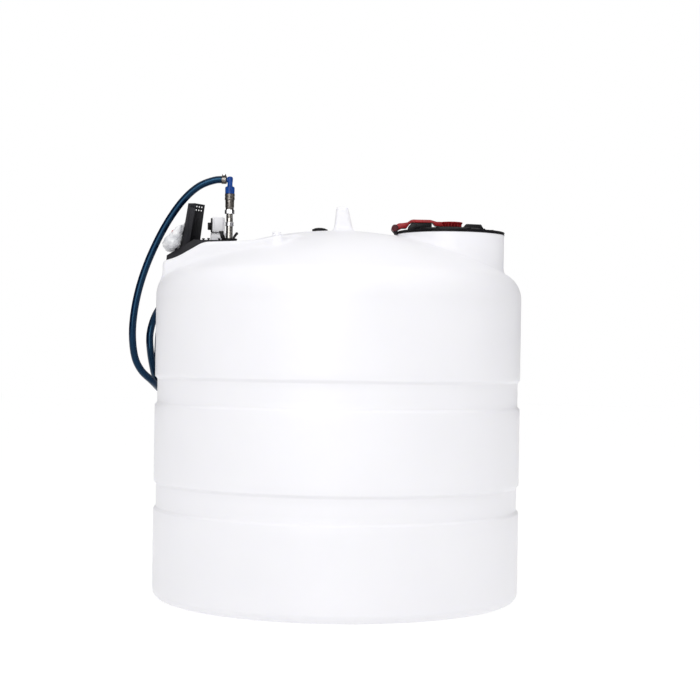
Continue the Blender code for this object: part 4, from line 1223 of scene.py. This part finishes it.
def tray_bolts():
    """The black studs in front and the plated bolts that hold the tray."""
    bolts = []
    for x, y, top in ((-0.5745, -0.09, 1.512), (-0.553, -0.09, 1.513), (-0.508, -0.092, 1.5115)):
        foot = tray_height(x) + 0.0002
        bolts.append(bar("stud", (x, y, foot), (x, y, top - 0.0045), 0.004, "black_plastic", 16))
        bolts.append(bar("cap", (x, y, top - 0.0045), (x, y, top), 0.0062, "black_plastic", 24, 0.0012))
    slope = (DECK_Z - DECK_OUTER[1]) / (DECK_BEND_X - DECK_OUTER[0])
    lean = Matrix.Rotation(-math.atan(slope), 4, "Y")
    for x, y in ((-0.7, 0.15), (-0.6, 0.152), (-0.47, 0.15), (-0.7, -0.1)):
        washer = bar("washer", (0, 0, 0.0002), (0, 0, 0.0012), 0.0085, "zinc_plate", 24)
        head = bar("head", (0, 0, 0.0012), (0, 0, 0.0058), 0.0062, "zinc_plate", 6)
        for piece in (washer, head):
            turn = lean if x < DECK_BEND_X else Matrix()
            bolts.append(placed(piece, Matrix.Translation((x, y, tray_height(x))) @ turn))
    assembled("tray_bolts", bolts, "tank", "black_moulding")


def holder_frame():
    """The leaning holder's own place, on which its pieces are drawn upright."""
    return Matrix.Translation(HOLDER_FOOT) @ Matrix.Rotation(HOLDER_LEAN, 4, "Y")


def nozzle_holder():
    """The folded sheet that stands on the tray's slope and leans in, with its slots."""
    front, back, foot = -0.105, 0.135, -0.065
    top, back_top = HOLDER_FRONT_TOP, HOLDER_BACK_TOP
    web = [(front, foot), (back, foot), (back, back_top), (front, top)]
    sheet = slab("holder_sheet", web, 0.0, SHEET, "X", "black_powder_coat")
    front_side = [(0.0, foot), (0.033, foot), (0.033, top), (0.0, top)]
    back_side = [(0.0, foot), (0.053, foot), (0.053, 0.0), (0.045, back_top), (0.0, back_top)]
    fuse(sheet, slab("front_side", front_side, front, front + SHEET, "Y", "black_powder_coat"))
    fuse(sheet, slab("back_side", back_side, back - SHEET, back, "Y", "black_powder_coat"))
    slot = arc((0.0095, 0.1665), 0.0035, 90.0, 270.0, 8) + arc((0.0245, 0.1665), 0.0035, -90.0, 90.0, 8)
    cut(sheet, slab("holder_slot", slot, front - 0.01, front + 0.01, "Y", "black_powder_coat"))
    for x in (0.0095, 0.0205, 0.0315):
        for z in (0.171, 0.186):
            low, high = (x, back - 0.01, z), (x + 0.0042, back + 0.01, z + 0.0055)
            cut(sheet, block("back_slot", low, high, "black_powder_coat"))
    placed(sheet, holder_frame())
    left, right = -0.8, -0.4
    below = [(x, tray_height(x) + 0.0003) for x in (left, DECK_BEND_X, right)]
    below += [(right, 1.25), (left, 1.25)]
    cut(sheet, slab("below_tray_top", below, -0.3, 0.3, "Y", "black_powder_coat"))
    eased(sheet, 0.0006, 2)
    finish(sheet, "tank", "black_sheet", "nozzle_holder")


def holder_screws():
    """The four screws with washers on the holder's inner side."""
    screws = []
    for y, z in ((-0.06, 0.12), (0.06, 0.12), (-0.06, 0.055), (0.06, 0.055)):
        seat = (SHEET, y, z)
        screws.append(bar("screw", seat, (SHEET + 0.0045, y, z), 0.0055, "zinc_plate", 6))
        screws.append(bar("screw_washer", seat, (SHEET + 0.0012, y, z), 0.0078, "zinc_plate", 20))
    heads = placed(joined("holder_screws", screws), holder_frame())
    finish(heads, "tank", "stainless")


def nozzle_cradle():
    """The fork on the holder's outer side that the nozzle lies in."""
    near, far, half, arm_width = -0.0003, -0.0033, 0.074, 0.014
    root, low, reach = -0.0018, 0.0178, -0.061
    corner = (far, -half - 0.001, low - 0.001)
    plate = block("cradle_plate", corner, (near, half + 0.001, 0.108), "black_powder_coat")
    hook = [(root, 0.107), (root, 0.098), (-0.007, 0.0905), (-0.013, 0.0935), (-0.008, 0.1055)]
    fuse(plate, slab("cradle_hook", hook, -0.02, 0.02, "Y", "black_powder_coat"))
    arm = [
        (reach, low), (reach, low + 0.013), (reach + 0.003, low + 0.013),
        (reach + 0.003, low + 0.003), (root, low + 0.003), (root, low),
    ]
    for start in (-half, half - arm_width):
        fuse(plate, slab("cradle_arm", arm, start, start + arm_width, "Y", "black_powder_coat"))
    eased(plate, 0.0006, 2)
    placed(plate, holder_frame())
    finish(plate, "tank", "black_sheet", "nozzle_cradle")


def nozzle_pieces():
    """The dispensing nozzle: valve body, spout with its red cap, guard, lever and swivel inlet."""
    x, z = NOZZLE_X, NOZZLE_Z
    place = (x, 0.0, z)
    body = [
        (0.0, 0.075), (0.015, 0.075), (0.0165, 0.0735), (0.017, 0.069), (0.0215, 0.068),
        (0.0228, 0.0655), (0.0228, 0.056), (0.0215, 0.054), (0.0185, 0.0525), (0.018, 0.04),
        (0.0205, 0.026), (0.0226, 0.008), (0.0228, -0.02), (0.0215, -0.04), (0.018, -0.056),
        (0.0158, -0.064), (0.0158, -0.07), (0.0172, -0.071), (0.0172, -0.078), (0.015, -0.08),
        (0.013, -0.085), (0.0, -0.085),
    ]
    barrel = turned("nozzle_barrel", body, "nozzle_plastic", place=place, axis="Y", steps=40)
    ribs = on_circle("nozzle_ring_ribs", 20, 0.0222, 0.0608, (0.0026, 0.003, 0.008), "nozzle_plastic")
    placed(ribs, Matrix.Translation(place) @ Matrix.Rotation(math.radians(-90.0), 4, "X"))
    body_piece = assembled("nozzle_valve_body", [barrel, ribs], "tank", "nozzle_grey", "nozzle_body")
    spout = dressed("nozzle_spout", "turned_stainless")
    tip = dressed("nozzle_spout_cap", "red_plastic")
    swivel = [
        (0.0, 0.115), (0.015, 0.115), (0.0165, 0.114), (0.0165, 0.106), (0.015, 0.1045),
        (0.0135, 0.102), (0.0135, 0.096), (0.0155, 0.095), (0.0155, 0.0925), (0.0, 0.0925),
    ]
    inlet = turned("swivel_body", swivel, "turned_stainless", place=place, axis="Y", steps=32)
    nut = bar("swivel_nut", (x, 0.0754, z), (x, 0.0925, z), 0.0165, "turned_stainless", 6, 0.0012)
    inlet_piece = assembled("nozzle_swivel_inlet", [inlet, nut], "tank", "stainless", "nozzle_inlet")
    loop = [
        (x - 0.014, 0.046, z - 0.0225), (x - 0.03, 0.046, z - 0.045), (x - 0.042, 0.034, z - 0.062),
        (x - 0.045, 0.0, z - 0.066), (x - 0.042, -0.034, z - 0.062), (x - 0.03, -0.046, z - 0.045),
        (x - 0.014, -0.046, z - 0.0205),
    ]
    guard = tube_mesh("nozzle_hand_guard", loop, 0.0045, "nozzle_plastic", 0.005)
    guard_piece = finish(guard, "tank", "nozzle_grey", "nozzle_guard")
    pull = [
        (x - 0.0125, 0.04, z - 0.017), (x - 0.019, 0.038, z - 0.027), (x - 0.024, 0.022, z - 0.035),
        (x - 0.027, 0.0, z - 0.04), (x - 0.031, -0.02, z - 0.046),
    ]
    lever = tube_mesh("nozzle_pull_lever", pull, 0.0047, "nozzle_plastic", 0.004)
    lever_piece = finish(lever, "tank", "nozzle_grey", "nozzle_lever")
    return [body_piece, spout, tip, inlet_piece, guard_piece, lever_piece]


def nozzle_film():
    """The milky crumpled wrapping that hangs over the nozzle's front and its guard."""
    columns, rows = 96, 96
    front, back = -0.186, 0.064
    outline = [
        (-0.651, 1.572), (-0.678, 1.561), (-0.695, 1.544), (-0.711, 1.526), (-0.725, 1.512),
        (-0.739, 1.499), (-0.7455, 1.484), (-0.743, 1.468), (-0.734, 1.457), (-0.718, 1.453),
        (-0.7, 1.457), (-0.683, 1.466), (-0.669, 1.476), (-0.664, 1.496), (-0.659, 1.53),
        (-0.652, 1.556),
    ]
    ring = smooth_ring(outline, columns)
    middle = Vector((-0.695, 0.0, 1.515))
    corners, faces = [], []
    for i in range(rows + 1):
        share = i / rows
        depth = front + (back - front) * (1.0 - math.cos(math.pi * share)) / 2.0
        size = max(0.004, math.sin(math.pi * share)) ** 0.22
        for x, z in ring:
            spot = Vector((middle.x + (x - middle.x) * size, depth, middle.z + (z - middle.z) * size))
            folds = noise.noise(spot * 34.0) * 0.006 + abs(noise.noise(spot * 70.0)) * 0.008
            folds += abs(noise.noise(spot * 190.0 + Vector((3, 1, 7)))) * 0.0045 - 0.0085
            out = Vector((spot.x - middle.x, (depth - (front + back) / 2.0) * 0.4, spot.z - middle.z))
            corners.append(spot + out.normalized() * folds * min(1.0, size * 1.4))
    for i in range(rows):
        here, above = i * columns, (i + 1) * columns
        for j in range(columns):
            k = (j + 1) % columns
            faces.append((here + j, here + k, above + k, above + j))
    faces.append(tuple(range(columns)))
    faces.append(tuple(rows * columns + j for j in reversed(range(columns))))
    film = from_faces("nozzle_wrapping", corners, faces, "clear_film", 60.0)
    finish(film, "tank", "clear_film")


def riser_flange():
    """The black foot of the riser, with its bolts and its two cam levers."""
    deck = DECK_Z + 0.0036
    foot = [
        (0.0, 1.5186), (0.0325, 1.5186), (0.034, 1.5172), (0.034, 1.5115), (0.031, 1.51),
        (0.0265, 1.5065), (0.0255, 1.5), (0.0265, deck + 0.011), (0.0305, deck + 0.0085),
        (0.031, deck + 0.007), (0.031, deck), (0.0, deck),
    ]
    place = (RISER_X, 0.0, 0.0)
    flange = turned("flange_body", foot, "black_plastic", place=place, steps=48)
    size = (0.006, 0.0024, 0.014)
    ribs = on_circle("flange_ribs", 12, 0.0275, 1.5005, size, "black_plastic", place)
    top = 1.518
    left = [
        (-0.034, top), (-0.0405, 1.5367), (-0.0435, 1.55), (-0.0243, 1.55), (-0.0243, 1.5385),
        (-0.0155, top),
    ]
    right = [
        (0.0155, top), (0.0155, 1.526), (0.029, 1.5455), (0.0345, 1.5455), (0.036, 1.5385),
        (0.022, top),
    ]
    levers = []
    for name, outline in (("cam_left", left), ("cam_right", right)):
        points = [(RISER_X + a, b) for a, b in outline]
        levers.append(slab(name, points, -0.009, 0.009, "Y", "black_plastic", 0.0016, 2))
    x, z = RISER_X + 0.0326, 1.5405
    knob = bar("cam_knob", (x, -0.0095, z), (x, 0.0095, z), 0.0053, "black_plastic", 24, 0.001)
    pieces = [flange, ribs, *levers, knob]
    assembled("riser_foot", pieces, "tank", "black_moulding", "pipe_flange")
    size = (0.005, 0.005, 0.006)
    bolts = on_circle("flange_bolts", 4, 0.04, deck + 0.003, size, "zinc_plate", hexagonal=True)
    turn = Matrix.Rotation(math.radians(45.0), 4, "Z")
    placed(bolts, Matrix.Translation(place) @ turn)
    finish(bolts, "tank", "stainless")


def riser_stack():
    """The stainless pipe and the nuts of the riser."""
    place = (RISER_X, 0.0, 0.0)

    def piece(name, profile, node, material_name="turned_stainless"):
        made = turned(name, profile, material_name, place=place, steps=36, angle=28.0)
        return finish(made, "tank", "stainless", node)

    lower = [(0.0, 1.571), (0.0145, 1.571), (0.0145, 1.5188), (0.0, 1.5188)]
    piece("riser_lower", lower, "riser_pipe_lower")
    ring = [
        (0.0, 1.5886), (0.017, 1.5886), (0.018, 1.5872), (0.018, 1.5838), (0.0172, 1.5828),
        (0.0172, 1.5772), (0.018, 1.5762), (0.018, 1.5728), (0.017, 1.5714), (0.0, 1.5714),
    ]
    piece("ring_nut", ring, "riser_ring_nut", "zinc_plate")
    thread = [(0.0, 1.6228)]
    for k in range(8):
        z = 1.6228 - k * 0.0022
        thread += [(0.0138, z), (0.0145, z - 0.0007), (0.0145, z - 0.0011), (0.0138, z - 0.0018)]
    thread += [(0.0144, 1.604), (0.0144, 1.589), (0.0, 1.589)]
    piece("riser_upper", thread, "riser_pipe_upper")
    hexagon = bar("hex_nut", (RISER_X, 0, 1.6234), (RISER_X, 0, 1.641), 0.0207, "zinc_plate", 6)
    limit = [
        (0.0, 1.6412), (0.0185, 1.6412), (0.021, 1.6394), (0.021, 1.6252), (0.0185, 1.6232),
        (0.0, 1.6232),
    ]
    cone = turned("hex_limit", limit, "turned_stainless", place=place, steps=48)
    boolean(hexagon, cone, "INTERSECT")
    finish(eased(hexagon, 0.0003, 1), "tank", "stainless", "riser_hex_nut")


def quick_coupling():
    """The knurled sleeve of the quick coupling and the collar above it."""
    place = (RISER_X, 0.0, 0.0)
    profile = [
        (0.0, 1.682), (0.0186, 1.682), (0.019, 1.6812), (0.019, 1.672), (0.0182, 1.671),
        (0.018, 1.652), (0.0172, 1.65), (0.0174, 1.642), (0.0168, 1.6414), (0.0, 1.6414),
    ]
    sleeve = turned("coupling_sleeve", profile, "knurled_steel", place=place, steps=40)
    size = (0.0012, 0.0016, 0.018)
    knurls = on_circle("coupling_knurls", 36, 0.0182, 1.6612, size, "knurled_steel", place)
    assembled("quick_coupling", [sleeve, knurls], "tank", "stainless", "riser_coupling")
    profile = [
        (0.0, 1.7098), (0.0196, 1.7098), (0.0212, 1.7084), (0.0212, 1.699), (0.02, 1.6976),
        (0.02, 1.695), (0.0212, 1.6938), (0.0212, 1.6838), (0.0196, 1.6824), (0.0, 1.6824),
    ]
    collar = turned("coupling_collar", profile, "knurled_steel", place=place, steps=40)
    finish(collar, "tank", "stainless", "riser_collar")


def blue_fitting():
    """The blue nut and elbow that carry the hose."""
    place = (RISER_X, 0.0, 0.0)
    profile = [
        (0.0, 1.7398), (0.0175, 1.7398), (0.019, 1.7385), (0.0195, 1.716), (0.0203, 1.714),
        (0.0203, 1.711), (0.0195, 1.7102), (0.0, 1.7102),
    ]
    nut = turned("nut_body", profile, "blue_plastic", place=place, steps=36)
    size = (0.002, 0.003, 0.02)
    ribs = on_circle("nut_ribs", 18, 0.0192, 1.7265, size, "blue_plastic", place, 0.0004)
    assembled("blue_union_nut", [nut, ribs], "tank", "blue_moulding", "fitting_nut")
    x, y, z = HOSE_START
    profile = [
        (0.0, 1.784), (0.006, 1.7836), (0.01, 1.7815), (0.0122, 1.7775), (0.0125, 1.772),
        (0.0115, 1.76), (0.0108, 1.752), (0.0108, 1.746), (0.012, 1.744), (0.012, 1.7403),
        (0.0, 1.7403),
    ]
    elbow = turned("elbow_body", profile, "blue_plastic", place=place, steps=36)
    spigot = bar("elbow_spigot", (x + 0.0015, y, z), (RISER_X, y, z), 0.0105, "blue_plastic", 28)
    fuse(elbow, spigot)
    eased(elbow, 0.0006, 2)
    finish(elbow, "tank", "blue_moulding", "hose_elbow")


def hose_clamp():
    """The screw clamp on the hose's end."""
    x, y, z = -0.4985, 0.0, HOSE_START[2]
    profile = [
        (0.0163, 0.009), (0.018, 0.0095), (0.0183, 0.0088), (0.0175, 0.008), (0.0175, -0.008),
        (0.0183, -0.0088), (0.018, -0.0095), (0.0163, -0.009),
    ]
    band = turned("clamp_band", profile, "knurled_steel", place=(x, y, z), axis="X", steps=40)
    low, high = (x - 0.0077, y - 0.01, z + 0.0171), (x + 0.0077, y + 0.01, z + 0.0242)
    housing = block("clamp_housing", low, high, "knurled_steel", 0.0012)
    front, back = (x, y - 0.016, z + 0.0207), (x, y - 0.0098, z + 0.0207)
    screw = bar("clamp_screw", front, back, 0.0034, "zinc_plate", 6)
    assembled("hose_screw_clamp", [band, housing, screw], "tank", "stainless", "hose_clamp")


def pump_housing():
    """The white pump housing, with its upright ribs in front and two screws on top."""
    low, high = (-0.557, 0.04, DECK_Z + 0.0036), (-0.49, 0.158, PUMP_TOP)
    case = block("pump_case", low, high, "white_plastic", 0.006, 3)
    start = (-0.546, 0.0394, 1.512)
    size = (0.0028, 0.0022, 0.034)
    pieces = [case, in_row("pump_vents", 7, start, (0.0075, 0.0, 0.0), size, "white_plastic")]
    for x in (-0.55, -0.497):
        low, high = (x, 0.148, PUMP_TOP - 0.001), (x, 0.148, PUMP_TOP + 0.0006)
        pieces.append(bar("case_screw", low, high, 0.0032, "zinc_plate", 16))
    assembled("pump_case_body", pieces, "tank", "white_moulding", "pump_housing")


def switch_box():
    """The white switch box on the housing, with the black plate on its left side."""
    left, right, top = -0.5487, -0.4995, 1.6133
    low = (left, SWITCH_Y - 0.03, PUMP_TOP + 0.0003)
    box = block("switch_case", low, (right, SWITCH_Y + 0.03, top), "white_plastic", 0.004, 3)
    seam = (left + 0.008, SWITCH_Y - 0.031, 1.53)
    cut(box, block("case_groove", seam, (left + 0.009, SWITCH_Y + 0.031, 1.62), "white_plastic"))
    finish(box, "tank", "white_moulding", "switch_box")
    plate_x = left - 0.0003
    face_x = plate_x - 0.0065
    low = (face_x, SWITCH_Y - 0.029, PUMP_TOP + 0.0003)
    plate = block("switch_face", low, (plate_x, SWITCH_Y + 0.029, 1.608), "black_plastic", 0.0018, 3)
    rim = [(0.0, 0.0), (0.0205, 0.0), (0.021, -0.0005), (0.0, -0.0005)]
    place = (face_x, SWITCH_Y, SWITCH_Z)
    ring = turned("switch_ring", rim, "zinc_plate", place=place, axis="X", steps=40)
    assembled("switch_face_plate", [plate, ring], "tank", "black_moulding", "switch_plate")


def switch_dial():
    """The rotary switch with its grip and its pointer line."""
    face = SWITCH_FACE_X
    profile = [
        (0.0, 0.0), (0.0158, 0.0), (0.0169, -0.0012), (0.0169, -0.0034), (0.016, -0.0054),
        (0.0145, -0.006), (0.0, -0.006),
    ]
    place = (face, SWITCH_Y, SWITCH_Z)
    dial = turned("dial", profile, "black_plastic", place=place, axis="X", steps=40)
    grip = block(
        "dial_grip",
        (face - 0.0146, SWITCH_Y - 0.0055, SWITCH_Z - 0.0157),
        (face - 0.0045, SWITCH_Y + 0.0055, SWITCH_Z + 0.0157),
        "black_plastic",
        0.0016,
        3,
    )
    mark = block(
        "dial_mark",
        (face - 0.0148, SWITCH_Y - 0.0008, SWITCH_Z + 0.003),
        (face - 0.014, SWITCH_Y + 0.0008, SWITCH_Z + 0.0135),
        "white_plastic",
    )
    fuse(dial, grip)
    assembled("switch_dial", [dial, mark], "switch_knob", "black_moulding", "switch_knob")


# The studio


def spread_of(nodes, links, value, low, high, extra):
    """A smooth rise from nothing to an amount, between two values of a direction."""
    spread = nodes.new("ShaderNodeMapRange")
    spread.interpolation_type = "SMOOTHSTEP"
    spread.inputs["From Min"].default_value = low
    spread.inputs["From Max"].default_value = high
    spread.inputs["To Min"].default_value = 0.0
    spread.inputs["To Max"].default_value = extra
    links.new(value, spread.inputs["Value"])
    return spread.outputs["Result"]


def sum_of(nodes, links, base, values):
    """The sum of a plain number and of some sockets."""
    for value in values:
        total = nodes.new("ShaderNodeMath")
        total.operation = "ADD"
        total.inputs[1].default_value = base if isinstance(base, float) else 0.0
        links.new(value, total.inputs[0])
        if not isinstance(base, float):
            links.new(base, total.inputs[1])
        base = total.outputs["Value"]
    return base


def soft_surround(world):
    """Even light from all around, a large soft panel for the gloss, and plain white behind it all."""
    nodes, links = world.node_tree.nodes, world.node_tree.links
    towards = nodes.new("ShaderNodeTexCoord")
    parts = nodes.new("ShaderNodeSeparateXYZ")
    links.new(towards.outputs["Generated"], parts.inputs["Vector"])
    aim = nodes.new("ShaderNodeVectorMath")
    aim.operation = "DOT_PRODUCT"
    aim.inputs[1].default_value = Vector(PANEL_WAY).normalized()
    links.new(towards.outputs["Generated"], aim.inputs[0])
    front = spread_of(nodes, links, parts.outputs["Y"], 0.2, -0.9, SURROUND_FRONT)
    top = spread_of(nodes, links, parts.outputs["Z"], 0.0, 1.0, SURROUND_TOP)
    even = sum_of(nodes, links, SURROUND_BASE, (front, top))
    panel = spread_of(nodes, links, aim.outputs["Value"], *PANEL_EDGE, PANEL_LIGHT)
    above = spread_of(nodes, links, parts.outputs["Z"], 0.45, 1.0, PANEL_ABOVE)
    gloss = sum_of(nodes, links, PANEL_DARK, (panel, above))
    path = nodes.new("ShaderNodeLightPath")
    shader = nodes["Background"]
    shader.inputs["Color"].default_value = (1.0, 1.0, 1.0, 1.0)
    links.new(even, shader.inputs["Strength"])
    result = shader.outputs["Background"]
    for ray, strength in (("Is Glossy Ray", gloss), ("Is Camera Ray", 1.0)):
        other = nodes.new("ShaderNodeBackground")
        other.inputs["Color"].default_value = (1.0, 1.0, 1.0, 1.0)
        if isinstance(strength, float):
            other.inputs["Strength"].default_value = strength
        else:
            links.new(strength, other.inputs["Strength"])
        mix = nodes.new("ShaderNodeMixShader")
        links.new(path.outputs[ray], mix.inputs["Fac"])
        links.new(result, mix.inputs[1])
        links.new(other.outputs["Background"], mix.inputs[2])
        result = mix.outputs["Shader"]
    links.new(result, nodes["World Output"].inputs["Surface"])


def studio():
    """A plain pale floor, an even white surround and large soft lamps."""
    scene = bpy.context.scene
    scene.view_settings.view_transform = "Standard"
    world = bpy.data.worlds.new("white_surround")
    scene.world = world
    world.use_nodes = True
    soft_surround(world)
    half = FLOOR_HALF
    corners = [(-half, -half, 0), (half, -half, 0), (half, half, 0), (-half, half, 0)]
    from_faces("floor", corners, [(0, 1, 2, 3)], "studio_floor")
    for name, (place, aim, size, power) in LAMPS.items():
        data = bpy.data.lights.new(name, "AREA")
        data.shape = "SQUARE"
        data.size = size
        data.energy = power
        lamp = bpy.data.objects.new(name, data)
        scene.collection.objects.link(lamp)
        lamp.location = place
        lamp.rotation_euler = (Vector(aim) - Vector(place)).to_track_quat("-Z", "Y").to_euler()


materials = {
    made.name: made
    for made in (
        natural_polyethylene(),
        black_plastic(),
        black_powder_coat(),
        red_plastic(),
        maroon_plastic(),
        turned_stainless(),
        knurled_steel(),
        zinc_plate(),
        blue_plastic(),
        blue_rubber(),
        white_plastic(),
        nozzle_plastic(),
        gasket_rubber(),
        clear_film(),
        studio_floor(),
    )
}
trees = {"circle": circle_tree(), "row": row_tree()}

photograph_camera()
hose = delivery_hose()
nozzle = nozzle_pieces()
finish(hose, "tank", "blue_hose", "hose")
nozzle_film()
moulded_roof()
moulded_wall()
roof_fittings()
neck_collar()
manhole_lid()
lid_grips()
lid_arm_strap()
lid_arm_boss()
hinge_pins()
hinge_ears()
base_tray()
tray_bolts()
nozzle_holder()
holder_screws()
nozzle_cradle()
riser_flange()
riser_stack()
quick_coupling()
blue_fitting()
hose_clamp()
pump_housing()
switch_box()
switch_dial()
studio()
